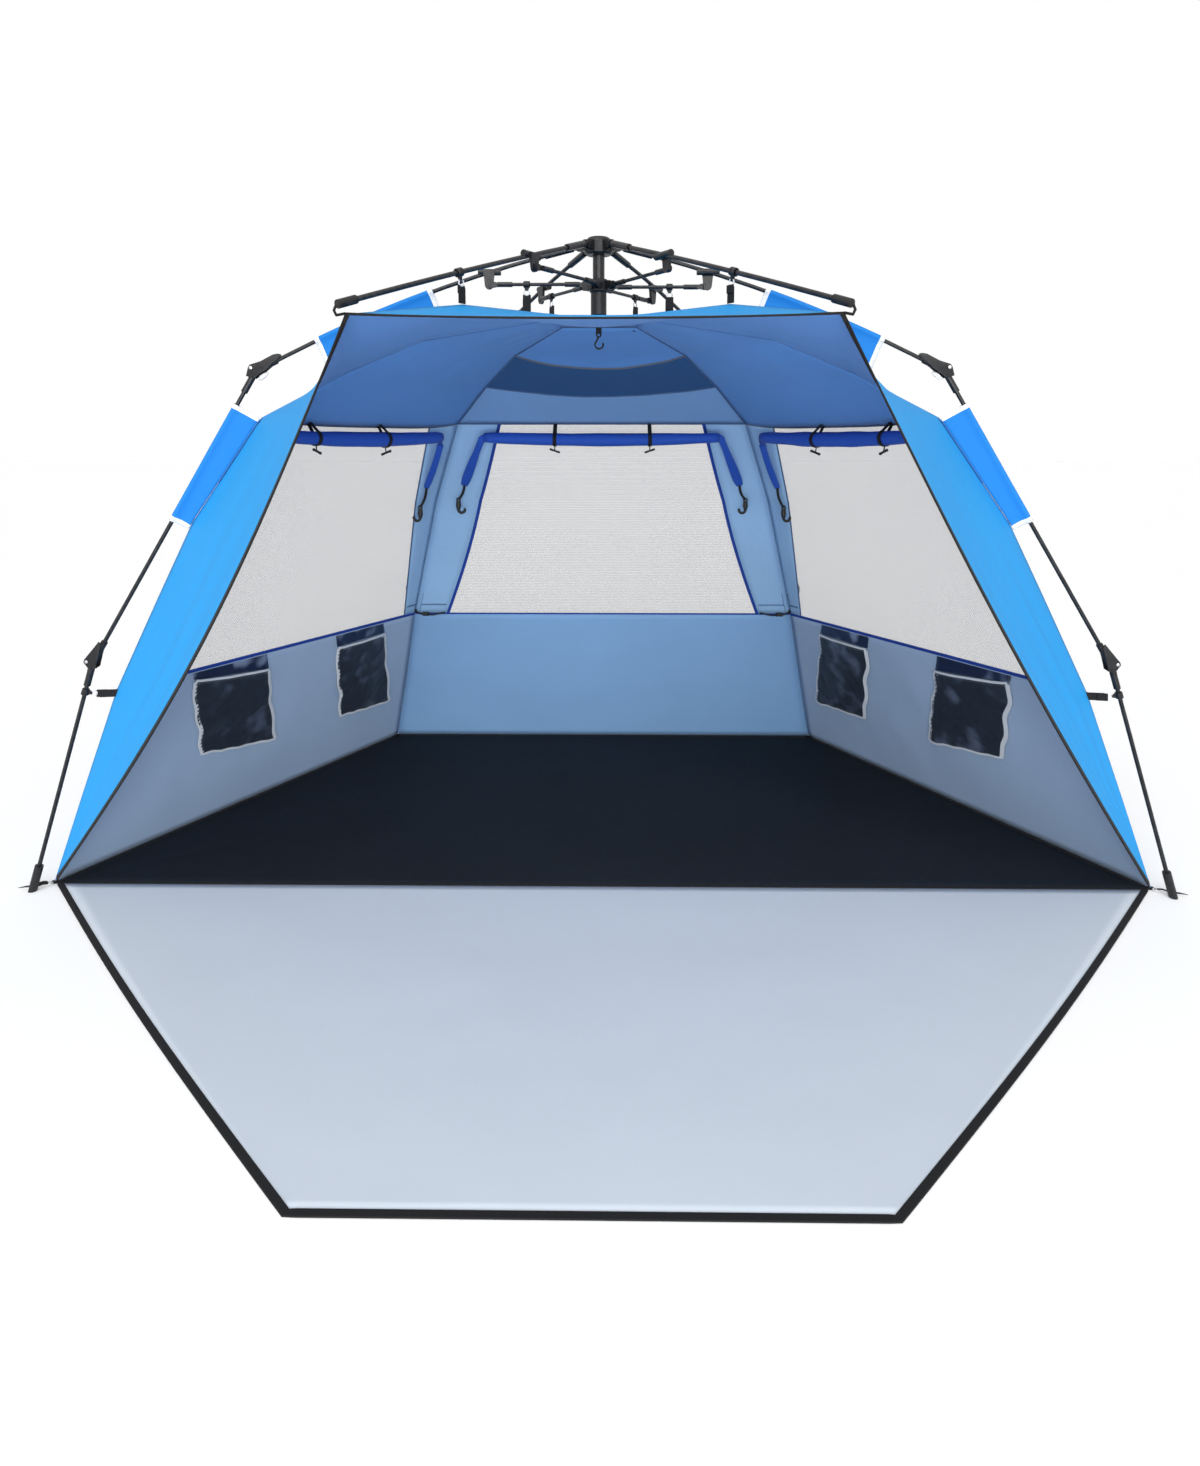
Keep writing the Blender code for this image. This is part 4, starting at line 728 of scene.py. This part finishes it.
world = bpy.data.worlds.new("studio")
bpy.context.scene.world = world
world.use_nodes = True
background = world.node_tree.nodes["Background"]
background.inputs["Color"].default_value = (1.0, 1.0, 1.0, 1.0)
seen = shownWhite(world.node_tree)
plug(world.node_tree, studio["world"] + seen * (studio["white"] - studio["world"]), background.inputs["Strength"])
floorMesh = bpy.data.meshes.new("studio_floor")
half, low = studio["half"], studio["low"]
floorMesh.from_pydata([(-half, -half, low), (half, -half, low), (half, half, low), (-half, half, low)],
                      [], [(0, 1, 2, 3)])
floorPiece = bpy.data.objects.new("studio_floor", floorMesh)
bpy.context.scene.collection.objects.link(floorPiece)
floorLook = Look("studio_floor", Base_Color=rgba([studio["floor"]] * 3), Roughness=0.9, Specular_IOR_Level=0.0,
                 Emission_Color=(1.0, 1.0, 1.0, 1.0))
floorMesh.materials.append(floorLook.finish(Emission_Strength=shownWhite(floorLook.tree) * studio["topUp"]))
bpy.context.scene.view_settings.view_transform = "Standard"


print("stage: mat")
matShape = Shape()
matShape.grid(matRows)
matPiece = matShape.make("cloth_mat", ["mat", "mat"])
shell = matPiece.modifiers.new("thickness", "SOLIDIFY")
shell.thickness = mat["thick"]
shell.offset = 0.0
round(areaOf(matRows), 3)
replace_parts(matPiece, "door_mat")
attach(matPiece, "mat")
trim = Shape()
edge = column(matRows, 0)[::-1] + matRows[0][1:-1] + column(matRows, -1)
trim.band([p + up * 0.0006 for p in edge], [up.cross(wayAt(edge, i)) for i in range(len(edge))], mat["border"],
          mat["borderThick"])
trimPiece = trim.make("mat_binding", ["blackTape"])
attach(trimPiece, "mat")


print("stage: zip edges and seams")
# Width, thickness and lift off the cloth
bindings = {
    "zip": (0.011, 0.0030, 0), "awning": (0.010, 0.0028, 0), "piping": (0.009, 0.0024, 0),
    "rearPiping": (0.005, 0.0020, 0), "roof": (0.006, 0.0014, -0.0008), "hem": (0.0045, 0.0016, -0.0006),
    "vent": (0.0075, 0.0014, -0.0008),
}
tapes = Shape()
for side, sign in signs.items():
    count = sum(1 for s in wingLevels if s <= hemLevel + 1)
    edgeBand(tapes, wings[side][:count], "left" if sign > 0 else "right", *bindings["zip"])
edgeBand(tapes, awningRows, "low", *bindings["awning"])
canopyPieces.append(tapes.make("zip_edges", ["blackTape"]))

piping = Shape()
for rows, edge, kind in ((walls["left"], "high", "piping"), (walls["right"], "high", "piping"),
                         (rightStrip, "right", "piping"), (leftStrip, "left", "piping"),
                         (walls["rear"], "high", "rearPiping")):
    edgeBand(piping, rows, edge, *bindings[kind])
canopyPieces.append(piping.make("blue_piping_lines", ["piping"]))

innerSeams = {"middle": Vector((0.0, 0.3, 0.3)), "off": 0.0012, "lower": 0.0016, "thread": 0.0011, "cord": 0.0016,
              "crown": 0.0014, "cover": 0.014, "coverThick": 0.0010}
inner = Shape()
# Look 1 puts the painted fold shade on the lower rear and side seams
for kind, first, last, wide, look in (("rear", 0.0, 5.0, "thread", 1), ("rear", 5.0, crownLevel, "cord", 0),
                                      ("side", 0.0, 2.0, "thread", 1)):
    for sign in (-1, 1):
        line = [seam(kind, sign, s) for s in steps(first, last, 60)]
        line = [p + (innerSeams["middle"] - p).normalized() * innerSeams["off"] for p in line]
        inner.tube(line, innerSeams[wide], look, sides=6)
lower = innerSeams["lower"]
inner.tube([p - Vector((0.0, lower, lower)) for p in awningRows[-1]], innerSeams["crown"], sides=6)
for sign in (-1, 1):
    # A strip of the roof's own cloth covers the seam of the side arm
    line = [seam("side", sign, s) - up * lower for s in steps(4.4, crownLevel, 50)]
    inner.band(line, Vector((0.0, 1.0, 0.0)), innerSeams["cover"], innerSeams["coverThick"], 2)
edgeBand(inner, rearRoof, "low", *bindings["roof"])
canopyPieces.append(inner.make("inner_seams", ["seamTape", "fold", "roof"]))

print("stage: rolled window covers and their ties")
covers = {
    "radius": 0.0182, "endRadius": 0.0125, "core": 0.002, "turns": 10.8, "thick": 0.0004,
    "below": 0.038, "inside": 0.026, "sag": 0.006, "columns": 38,
    "reach": {"left": (-0.16, 1.02), "right": (-0.16, 1.02), "rear": (-0.07, 1.07)},
    "ties": {"left": (0.037, 0.54), "right": (0.037, 0.54), "rear": (0.265, 0.7255)},
}
toggle = {"stem": 0.012, "half": 0.0135, "radius": 0.0034}


def hemEnds(name):
    if name == "rear":
        return windowEdge(1, "back", hemLevel), windowEdge(-1, "back", hemLevel)
    return windowEdge(signs[name], "front", hemLevel), windowEdge(signs[name], "rear", hemLevel)


def coverPlace(name, share):
    first, last = hemEnds(name)
    inward = up.cross(last - first).normalized()
    middle = blend(first, last, 0.5)
    if inward.x * middle.x + inward.y * middle.y > 0:
        inward = -inward
    start, end = covers["reach"][name]
    hang = max(0.0, math.sin(math.pi * (share - start) / (end - start)))
    place = blend(first, last, share) + inward * covers["inside"]
    place.z -= covers["below"] + covers["sag"] * hang
    lump = 1 + 0.10 * noise.noise(Vector((share * 7.0, len(name), 0.5)))
    return place, inward, blend(covers["endRadius"], covers["radius"], hang ** 0.6) * lump


def spiralAngles():
    # Coarse in the middle of the roll, fine on the turns that show
    end, angle, found = 2 * math.pi * covers["turns"], 0.0, []
    while angle < end:
        found.append(angle)
        angle += math.pi / (12 if end - angle < 5 * math.pi else 6)
    return found + [end]


turnAngles = spiralAngles()
for name in ("left", "right", "rear"):
    rows = []
    for angle in turnAngles:
        line = []
        for share in steps(*covers["reach"][name], covers["columns"]):
            place, inward, radius = coverPlace(name, share)
            r = blend(covers["core"], radius, angle / turnAngles[-1])
            a = turnAngles[-1] - angle + math.radians(125 - 95 * share)
            line.append(place + inward * (r * math.cos(a)) + up * (r * math.sin(a)))
        rows.append(line)
    clothPiece("cover_roll_" + name, rows, "roll", "roll", ["window_roll_" + name],
               covers["thick"])

ties, toggles = Shape(), Shape()
for name, shares in covers["ties"].items():
    first, last = hemEnds(name)
    along = (last - first).normalized()
    for k, share in enumerate(shares):
        place, inward, radius = coverPlace(name, share)
        reach = radius + 0.0013
        hem = blend(first, last, share)
        line = [hem + inward * 0.003 - up * 0.001] + around(place, inward, up, reach, 72, -235, 16)
        ties.band(line + [hem - inward * 0.001 - up * 0.002], along, 0.010, 0.0012)
        low = place - up * reach
        hung = low - up * toggle["stem"] + inward * 0.003
        toggles.tube([low + up * 0.001, blend(low, hung, 0.5), hung], 0.0015, sides=8)
        lean = along * (1 if k else -1) + up * 0.35 + inward * 0.2
        ends = [hung + lean * (toggle["half"] * s) for s in (-1, -0.9, -0.6, 0, 0.6, 0.9, 1)]
        toggles.tube(ends, toggle["radius"], sizes=[0.6, 1.0, 0.85, 0.75, 0.85, 1.0, 0.6])
addTrim(ties, "cover_ties", ["webbing"])
addTrim(toggles, "tie_toggles", ["plastic"])


print("stage: hanging tabs with elastic and hooks")
tabs = {
    "width": {"side": 0.0185, "rear": 0.0215}, "thick": 0.007, "elastic": 0.0072, "wire": 0.0040, "bend": 0.0090,
    "stem": 0.028,
    "ends": {"side": ((0.485, 0.604, 0.8275), (0.503, 0.604, 0.772)),
             "rear": ((0.390, 0.664, 0.832), (0.406, 0.657, 0.790))},
    "sizeShares": {"side": [0.8, 0.95, 1.0, 0.95, 0.9, 0.9, 0.9, 0.92, 0.95, 0.95, 0.9, 0.75],
                   "rear": [0.8, 0.95, 0.9, 0.8, 0.82, 0.9, 1.0, 1.08, 1.14, 1.18, 1.15, 0.9]},
}
for side, sign, kind, leg in legs:
    endPlace, hookPlace = tabs["ends"][kind]
    name = side if kind == "side" else "rear"
    atEnd = 1 if kind == "side" or sign < 0 else 0
    place, inward, radius = coverPlace(name, covers["reach"][name][atEnd])
    first, last = hemEnds(name)
    along = (last - first).normalized() * (1 if atEnd else -1)
    facing = Vector((sign, 0.0, 0.0)) if kind == "side" else along
    end = Vector((sign * endPlace[0], endPlace[1], endPlace[2]))
    knee = place + along * 0.006 - up * 0.004
    line = [place - along * 0.012, place - along * 0.002, knee]
    line += [blend(knee, end, t) + inward * (0.004 * math.sin(math.pi * t)) for t in steps(0.12, 1, 8)]
    shape = Shape()
    shape.band(line, [up, up, (up + along).normalized()] + [facing] * (len(line) - 3), tabs["width"][kind],
               tabs["thick"], sizes=tabs["sizeShares"][kind])
    addTrim(shape, "cover_tab_" + leg, ["roll"])
    tip = Vector((sign * hookPlace[0], hookPlace[1], hookPlace[2]))
    slack = Vector((-sign * 0.004, 0.0, -0.002))
    line = [blend(end, tip, t) + slack * math.sin(math.pi * t) for t in steps(0, 1, 16)]
    shape = Shape()
    shape.tube(line, tabs["elastic"] / 2, sides=10)
    elastic = addTrim(shape, "elastic_" + leg, ["webbing"])
    shape = Shape()
    out = Vector((1.0, 0.0, 0.0)) * (-sign if kind == "rear" else sign)
    shape.ring(tip, out.cross(up), 0.0046, 0.0022)
    stem = tip - up * tabs["stem"]
    centre = stem + out * tabs["bend"]
    hook = [tip - up * 0.003, blend(tip, stem, 0.6), stem] + around(centre, out, up, tabs["bend"], 195, 385, 12)
    shape.tube(hook, tabs["wire"], sizes=[1.5, 1.9, 1.25] + [1.0] * 11 + [0.9, 0.7])
    fitting = addTrim(shape, "tab_hook_" + leg, ["plastic"])
    tuple(line[0] + hubShift)
    round(lengthOf(line), 4)
    [tuple(p + hubShift) for p in line]


print("stage: pole sleeves")
sleeves = {
    "upper": [(0.3378, 1.26), (0.3992, 1.2372), (0.46, 1.2129), (0.5202, 1.1871), (0.5799, 1.1599)],
    "lower": [(0.7445, 1.03), (0.7774, 0.974), (0.8102, 0.918), (0.8473, 0.8547), (0.885, 0.7903)],
    "radius": 0.0064, "end": 0.010, "gap": 0.0013, "cloth": 0.0007,
}


def seamAcross(kind, sign, place, way):
    # The point of the seam that lies square to the pole at a place
    return min((seam(kind, sign, s) for s in steps(2.5, crownLevel, 400)), key=lambda p: abs((p - place).dot(way)))


def sleeveRows(kind, sign, line):
    azimuth = tent["azimuths"][kind]
    points = [polar(sign, azimuth, *p) for p in line]
    way = (points[-1] - points[0]).normalized()
    total = (points[-1] - points[0]).length
    shares = [0.0, sleeves["end"] / total] + steps(0.1, 0.9, 8) + [1 - sleeves["end"] / total, 1.0]
    rows = []
    for share in shares:
        k = min(int(share * 4), 3)
        place = blend(points[k], points[k + 1], share * 4 - k)
        foot = seamAcross(kind, sign, place, way)
        inward = foot - place
        inward = (inward - way * inward.dot(way)).normalized()
        foot = foot - inward * 0.0012
        aside = way.cross(inward).normalized()
        r, g = sleeves["radius"], sleeves["gap"]
        neck = place + inward * (2.4 * r)
        loop = [blend(foot, neck, t) + aside * g for t in steps(0, 1, 5)]
        loop += around(place, inward, aside, r, 38, 322, 10)
        loop += [blend(neck, foot, t) - aside * g for t in steps(0, 1, 5)]
        rows.append(loop)
    return rows


for side, sign, kind, leg in legs:
    for which in ("upper", "lower"):
        rows = sleeveRows(kind, sign, sleeves[which])
        last = len(rows) - 2
        look = ["sleeve", "whiteTape"]
        clothPiece("sleeve_" + which + "_" + leg, rows, look, look,
                   ["wing_" + side if kind == "side" else "side_panel_" + side], thickness=sleeves["cloth"],
                   zone=lambda i, j: 1 if i in (0, last) else 0)


print("stage: straps, cuffs and buckles")
strap = {"width": 0.0165, "thick": 0.0018, "cuff": 0.013, "wall": 0.0030, "ring": 0.0058, "wire": 0.0012}
hangings = [("stay_side_left", (-0.145, -0.016, 1.271), (-1, 0, 0), 0.0035, (-0.145, -0.016, 1.1950)),
            ("stay_rear_left", (-0.1048, 0.1252, 1.271), (-0.5635, 0.8261, 0), 0.0035, (-0.1048, 0.1252, 1.1960)),
            ("stay_rear_right", (0.0784, 0.1433, 1.271), (0.5635, 0.8261, 0), 0.0035, (0.0784, 0.1433, 1.1965)),
            ("stay_side_right", (0.145, 0.016, 1.271), (1, 0, 0), 0.0035, (0.145, 0.016, 1.1950))]
for side, sign in signs.items():
    hangings.append(("folding_arm_front_" + side, (sign * 0.2259, -0.3374, 1.2326),
                     (sign * 0.5279, -0.7886, -0.3154), 0.00425, (sign * 0.222, -0.3316, 1.1825)))
    hangings.append(("shin_side_" + side, (sign * 1.078, 0, 0.43), (sign * 0.2824, 0, -0.9593), 0.00425,
                     (sign * 1.0155, 0.018, 0.4225)))
    hangings.append(("shin_rear_" + side, (sign * 0.6075, 0.8906, 0.43), (sign * 0.1591, 0.2333, -0.9593), 0.00425,
                     (sign * 0.5701, 0.8357, 0.440)))
webs = Shape()
for body, top, axis, rodRadius, bottom in hangings:
    top, axis, bottom = Vector(top), Vector(axis).normalized(), Vector(bottom)
    way = bottom - top
    way = (way - axis * way.dot(axis)).normalized()
    across = way.cross(axis)
    cuff = Shape()
    inside = rodRadius + 0.0003 + strap["wall"] / 2
    cuff.band(around(top, way, across, inside, 0, 360, 20), axis, strap["cuff"], strap["wall"])
    ear = top + way * (inside + strap["wall"] / 2)
    cuff.band([ear - way * 0.001, ear + way * 0.003, ear + way * 0.006], axis, 0.010, 0.0042, sizes=[1.0, 0.85, 0.6])
    eye = ear + way * (0.006 + strap["ring"] * 0.6)
    cuff.ring(eye, across, strap["ring"], strap["wire"], slot=1)
    addTrim(cuff, "cuff_" + body, ["plastic", "buckle"], body=body)
    start = eye + way * (strap["ring"] * 0.75)
    line = [blend(start, bottom, t) for t in steps(0, 1, 6)]
    webs.band(line, axis, strap["width"], strap["thick"], sizes=[0.8, 1.0, 1.0, 1.0, 1.0, 1.0, 1.0])
    fold = [blend(start, bottom, t) + across * 0.0019 for t in steps(0.0, 0.45, 4)]
    webs.band(fold, axis, strap["width"] * 0.98, strap["thick"])
addTrim(webs, "hanging_straps", ["webbing"])

corners = Shape()
for side, sign in signs.items():
    tip = Vector((sign * 0.3605, -0.5385, 1.150))
    target = Vector((sign * 0.3555, -0.5265, 1.137))
    curl = [tip + Vector((sign * 0.004, -0.006, -0.004)), tip + Vector((sign * 0.006, -0.008, -0.011)),
            tip + Vector((sign * 0.004, -0.004, -0.017)), target + Vector((sign * 0.001, -0.001, 0.0005))]
    corners.tube(curl, 0.0022, sides=8)
    # A reinforcement runs down the zipped edge and a shorter one along the awning's own edge
    down = [seam("front", sign, s) + Vector((-sign * 0.002, -0.0022, 0.0)) for s in steps(6.0, 5.35, 7)]
    corners.band([target] + down, Vector((sign, 0.3, 0.3)), 0.0075, 0.0016,
                 sizes=[0.9, 1.0, 0.95, 0.9, 0.8, 0.7, 0.6, 0.5, 0.35])
    edge = awningRows[0] if sign < 0 else awningRows[0][::-1]
    corners.band([p + Vector((0.0, -0.0022, 0.0)) for p in edge[:5]], Vector((0, 0.3, -1)), 0.0042, 0.0014,
                 sizes=[1.0, 0.9, 0.75, 0.55, 0.35])
addTrim(corners, "awning_corner_straps", ["blackTape"])


print("stage: foot straps, rings and pins")
feet = {"pin": 0.030, "pinRadius": 0.0014, "ring": 0.0075, "wire": 0.0014}
laces = Shape()
for side, sign, kind, leg in legs:
    azimuth = tent["azimuths"][kind]
    foot = polar(sign, azimuth, 1.2055, 0.010)
    outward = polar(sign, azimuth, 1.0, 0.0)
    target = corner(kind, sign, 0) + up * 0.001
    way = (target - foot).normalized()
    start = foot + way * 0.009
    ring = blend(start, target, 0.72)
    laces.band([start, blend(start, ring, 0.5) + up * 0.002, ring - way * 0.004], up.cross(way) + up * 0.4,
               0.010, 0.0028)
    laces.band([ring + way * 0.005, target + way * 0.008], up.cross(way), 0.010, 0.0018)
    pin = Shape()
    pin.ring(Vector((ring.x, ring.y, 0.004)), up, feet["ring"] * 0.8, feet["wire"], slot=1)
    tail = foot + outward * feet["pin"] - up * 0.004
    pin.tube([foot + outward * 0.004, foot + outward * 0.014 - up * 0.001, tail], feet["pinRadius"], sides=8,
             sizes=[1.6, 1.2, 0.4])
    addTrim(pin, "foot_pin_" + leg, ["plastic", "buckle"])
addTrim(laces, "foot_straps", ["webbing"])


print("stage: knuckle mouldings, rivets and springs")
knuckles = {
    "elbow": {"pivot": (0.711, 1.105), "upper": "folding_arm_", "lower": "shank_", "last": (0.5799, 1.1599),
              "collar": (0.040, 0.064),
              # Outwards and upwards of the pivot, round the cheek
              "cheek": [(-0.056, 0.0290), (-0.058, 0.0205), (-0.050, 0.0140), (-0.028, -0.0045), (-0.0045, -0.0215),
                        (0.0101, -0.0165), (0.0058, 0.0010), (0.0020, 0.0066), (-0.020, 0.0135), (-0.046, 0.0272)]},
    "knee": {"pivot": (1.068, 0.496), "upper": "shank_", "lower": "shin_", "last": (0.711, 1.105),
             "cheek": [(-0.0265, 0.0420), (-0.0310, 0.0350), (-0.0236, 0.0107), (-0.0178, -0.0130), (-0.0088, -0.0189),
                       (-0.0010, -0.0120), (0.0067, -0.0013), (0.0050, 0.0045)]},
    "inner": 0.0071, "outer": 0.0099, "chamfer": 0.94, "sleeve": 0.0068, "rivet": 0.0036,
}
for side, sign, kind, leg in legs:
    azimuth = tent["azimuths"][kind]
    outward = polar(sign, azimuth, 1.0, 0.0)
    tangent = up.cross(outward)
    for word in ("elbow", "knee"):
        spec = knuckles[word]
        pivot = polar(sign, azimuth, *spec["pivot"])
        back = (polar(sign, azimuth, *spec["last"]) - pivot).normalized()
        shape = Shape()
        a, b, c = knuckles["inner"], knuckles["outer"], knuckles["chamfer"]
        shape.sweep([pivot + tangent * t for t in (b, b - 0.0006, a)], spec["cheek"], outward, sizes=[c, 1.0, 1.0])
        shape.sweep([pivot - tangent * t for t in (a, b - 0.0006, b)], spec["cheek"], outward, sizes=[1.0, 1.0, c])
        if "collar" in spec:
            near, far = spec["collar"]
            shape.tube([pivot + back * s for s in (near, near + 0.003, far - 0.004, far)], knuckles["sleeve"],
                       sides=14, sizes=[0.85, 1.0, 0.95, 0.75])
        addTrim(shape, word + "_moulding_" + leg, ["plastic"], body=spec["upper"] + leg)
        shape = Shape()
        for way in (-1, 1):
            line = [pivot + tangent * (way * t) for t in (b - 0.0004, b + 0.0012, b + 0.0017)]
            shape.tube(line, knuckles["rivet"], sides=14, sizes=[1.0, 0.9, 0.5])
        addTrim(shape, word + "_rivet_" + leg, ["steel"], body=spec["lower"] + leg)
    pivot = polar(sign, azimuth, *knuckles["elbow"]["pivot"])
    spring = Shape()
    centre = pivot - outward * 0.0215 - up * 0.0165
    long, short = (outward * 0.81 - up * 0.585) * 0.0125, (outward * 0.585 + up * 0.81) * 0.0042
    spring.tube([centre + long * math.cos(a) + short * math.sin(a) for a in steps(0.3, 2 * math.pi, 20)], 0.0010,
                sides=8)
    addTrim(spring, "elbow_spring_" + leg, ["steel"], body="folding_arm_" + leg)


print("stage: pockets on the side walls")
pockets = {
    # Shares along the wall from the front seam at the top and at the foot, and heights at front and rear
    "front": {"top": (0.200, 0.4275), "foot": (0.280, 0.500), "high": (0.400, 0.376), "low": (0.198, 0.168)},
    "rear": {"top": (0.6675, 0.8625), "foot": (0.730, 0.930), "high": (0.382, 0.386), "low": (0.160, 0.152)},
    "stand": 0.0055, "bulge": 0.007, "trim": 0.012, "wave": 0.009, "cloth": 0.0006, "columns": 22, "rows": 20,
    # The header starts a little above the net and ends at the wall's top
    "headerStart": 1.03, "headerTop": 0.421, "highest": 0.424, "headerStand": (0.9, 0.35),
}


def wallAt(side, share, height):
    # A place on the loose wall and the way off it, into the tent
    rows = walls[side]
    wide, tall = len(rows[0]) - 1, len(rows) - 1
    u = 1 - share if signs[side] < 0 else share
    j = min(int(u * wide), wide - 1)
    s = u * wide - j
    line = [blend(r[j], r[j + 1], s) for r in rows]
    i = next((k for k in range(tall) if line[k + 1].z >= height), tall - 1)
    t = (height - line[i].z) / (line[i + 1].z - line[i].z)
    away = (rows[i][j + 1] - rows[i][j]).cross(rows[i + 1][j] - rows[i][j]).normalized()
    if away.x * signs[side] > 0:
        away = -away
    return blend(line[i], line[i + 1], t), away


def pocketSpot(spec, u, v):
    # The share along the wall and the height of a place on a pocket
    return [blend(blend(*spec[low], u), blend(*spec[high], u), v) for low, high in (("foot", "top"), ("low", "high"))]


def pocketRows(side, spec):
    rows = []
    for v in steps(0, 1, pockets["rows"]):
        line = []
        for u in steps(0, 1, pockets["columns"]):
            share, height = pocketSpot(spec, u, v)
            # The loose side and lower edges wave a little
            share += pockets["wave"] * abs(2 * u - 1) ** 3 * noise.noise(Vector((v * 4.5, u * 2, signs[side] + 5)))
            height += pockets["wave"] * 0.8 * (1 - v) ** 3 * noise.noise(Vector((u * 5, 3.0, signs[side])))
            point, away = wallAt(side, share, height)
            swell = pockets["bulge"] * (4 * u * (1 - u)) ** 0.5 * (0.35 + 0.65 * v)
            crease = 0.0022 * noise.noise(Vector((u * 4, v * 5, spec["low"][0] * 9 + signs[side])))
            line.append(point + away * (pockets["stand"] + swell + crease))
        rows.append(line if signs[side] < 0 else line[::-1])
    return rows


def headerRows(side, spec):
    # The header's upper edge follows the wall's own top
    tops = [1.0 + (pockets["headerTop"] - high) / (high - low) for high, low in zip(spec["high"], spec["low"])]
    rows = []
    for t in steps(0, 1, pockets["rows"]):
        line = []
        for u in steps(0, 1, pockets["columns"]):
            share, height = pocketSpot(spec, u, blend(pockets["headerStart"], blend(*tops, u), t))
            point, away = wallAt(side, share, min(height, pockets["highest"]))
            line.append(point + away * (pockets["stand"] * blend(*pockets["headerStand"], t)))
        rows.append(line if signs[side] < 0 else line[::-1])
    return rows


trims = Shape()
for side in signs:
    for word in ("front", "rear"):
        nodes = ["pocket_" + word + "_" + side]
        rows = pocketRows(side, pockets[word])
        clothPiece("pocket_net_" + word + "_" + side, rows, "pocket", "pocket", nodes,
                   thickness=pockets["cloth"])
        clothPiece("pocket_header_" + word + "_" + side, headerRows(side, pockets[word]), "header", "header", nodes,
                   thickness=pockets["cloth"])
        width = pockets["trim"]
        edgeBand(trims, rows, "high", width, 0.0016, 0.0006)
        for edge, share in (("left", 0.85), ("right", 0.85), ("low", 0.5)):
            edgeBand(trims, rows, edge, width * share, 0.0014, 0.0004)
addTrim(trims, "pocket_trims", ["silverTape"])


print("stage: tapes, stitches and corner cords")
lines = Shape()
for rows in roofInside.values():
    edgeBand(lines, rows, "low", *bindings["hem"])
edgeBand(lines, rearRoof[16:18], "low", *bindings["vent"])
addTrim(lines, "hem_tapes", ["hemTape"])
lines = Shape()
edgeBand(lines, rearRoof[8:10], "low", *bindings["roof"])
addTrim(lines, "vent_edge", ["seamTape"])

stitch = {"radius": 0.0007, "high": 2.34, "low": 2.14, "apart": 0.012, "slant": 0.02, "start": 0.12, "end": 0.86}
threads = Shape()
for sign in (-1, 1):
    off = Vector((-sign * 0.6, -0.8, 0.0)) * 0.0030
    for edge in ("back", "rear"):
        for level in (stitch["low"], stitch["low"] + stitch["apart"]):
            line = [blend(seam("rear", sign, level + stitch["slant"] * u), windowEdge(sign, edge, level), u) + off
                    for u in steps(stitch["start"], stitch["end"], 10)]
            threads.tube(line, stitch["radius"], sides=5)
        line = [blend(seam("rear", sign, s), windowEdge(sign, edge, s), stitch["start"]) + off
                for s in steps(stitch["low"] - 0.1, stitch["high"], 8)]
        threads.tube(line, stitch["radius"], sides=5)
addTrim(threads, "strip_stitches", ["seamTape"])

loops = Shape()
for sign in (-1, 1):
    foot = seam("rear", sign, wallLevel)
    side = windowEdge(sign, "back", wallLevel)
    inside = Vector((-sign * 0.3, -0.9, 0.0)) * 0.008
    line = [foot + inside + up * 0.006, blend(foot, side, 0.25) + inside * 1.3 - up * 0.002,
            blend(foot, side, 0.55) + inside - up * 0.003, blend(foot, side, 0.9) + inside * 0.8 + up * 0.004]
    smooth = [blend(a, b, t) for a, b in zip(line, line[1:]) for t in (0.0, 0.33, 0.67)]
    loops.tube(smooth + [line[-1]], 0.0024, sides=8)
    knob = blend(foot, side, 0.32) + inside * 1.5
    away = (side - foot).normalized()
    loops.tube([knob + away * reach for reach in (-0.011, -0.008, 0.0, 0.008, 0.011)], 0.0062, sides=12,
               sizes=[0.5, 0.95, 0.8, 0.95, 0.5])
addTrim(loops, "corner_toggles", ["plastic"])


print("stage: lamp loop")
loop = Shape()
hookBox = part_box("lamp_hook")
hookTop = hookBox[1].z
low = Vector((0.0, 0.0, hookTop - 0.0035))
high = Vector((0.0, 0.0, tent["crown"][1] - 0.002))
apart = Vector((0.0, 0.0018, 0.0))
rearHalf, frontHalf = [[high + off, blend(high, low, 0.5) + off, low + off + up * 0.002] for off in (apart, -apart)]
loop.band(rearHalf + [low] + frontHalf[::-1], Vector((1.0, 0.0, 0.0)), 0.012, 0.0011)
addTrim(loop, "lamp_loop", ["webbing"])

# The hook comes down with the folding canopy
hook = {"wire": 0.0017, "eye": 0.0042, "bend": 0.0085, "left": 160, "right": 385, "lower": 0.004}
hookShape = Shape()
bottom = hookBox[0].z - hook["lower"]
eye = Vector((0.0, 0.0, hookTop - hook["eye"] - hook["wire"]))
centre = Vector((0.0008, 0.0, bottom + hook["bend"] + hook["wire"]))
hookShape.ring(eye, Vector((0, 1, 0)), hook["eye"], hook["wire"])
line = [eye - Vector((0.0005, 0.0, hook["eye"])), blend(eye, centre, 0.62) - Vector((0.0045, 0.0, 0.0))]
line += around(centre, Vector((1.0, 0.0, 0.0)), up, hook["bend"], hook["left"], hook["right"], 14)
hookShape.tube(line, hook["wire"], sides=12, sizes=[1.3, 1.15] + [1.0] * 6 + [1.25, 1.3, 1.25] + [1.1] * 5 + [0.7])
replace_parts(addTrim(hookShape, "lamp_hook_bent", ["plastic"]), "lamp_hook")


for piece in canopyPieces:
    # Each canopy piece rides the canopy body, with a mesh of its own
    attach(piece, "canopy")
    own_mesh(piece)
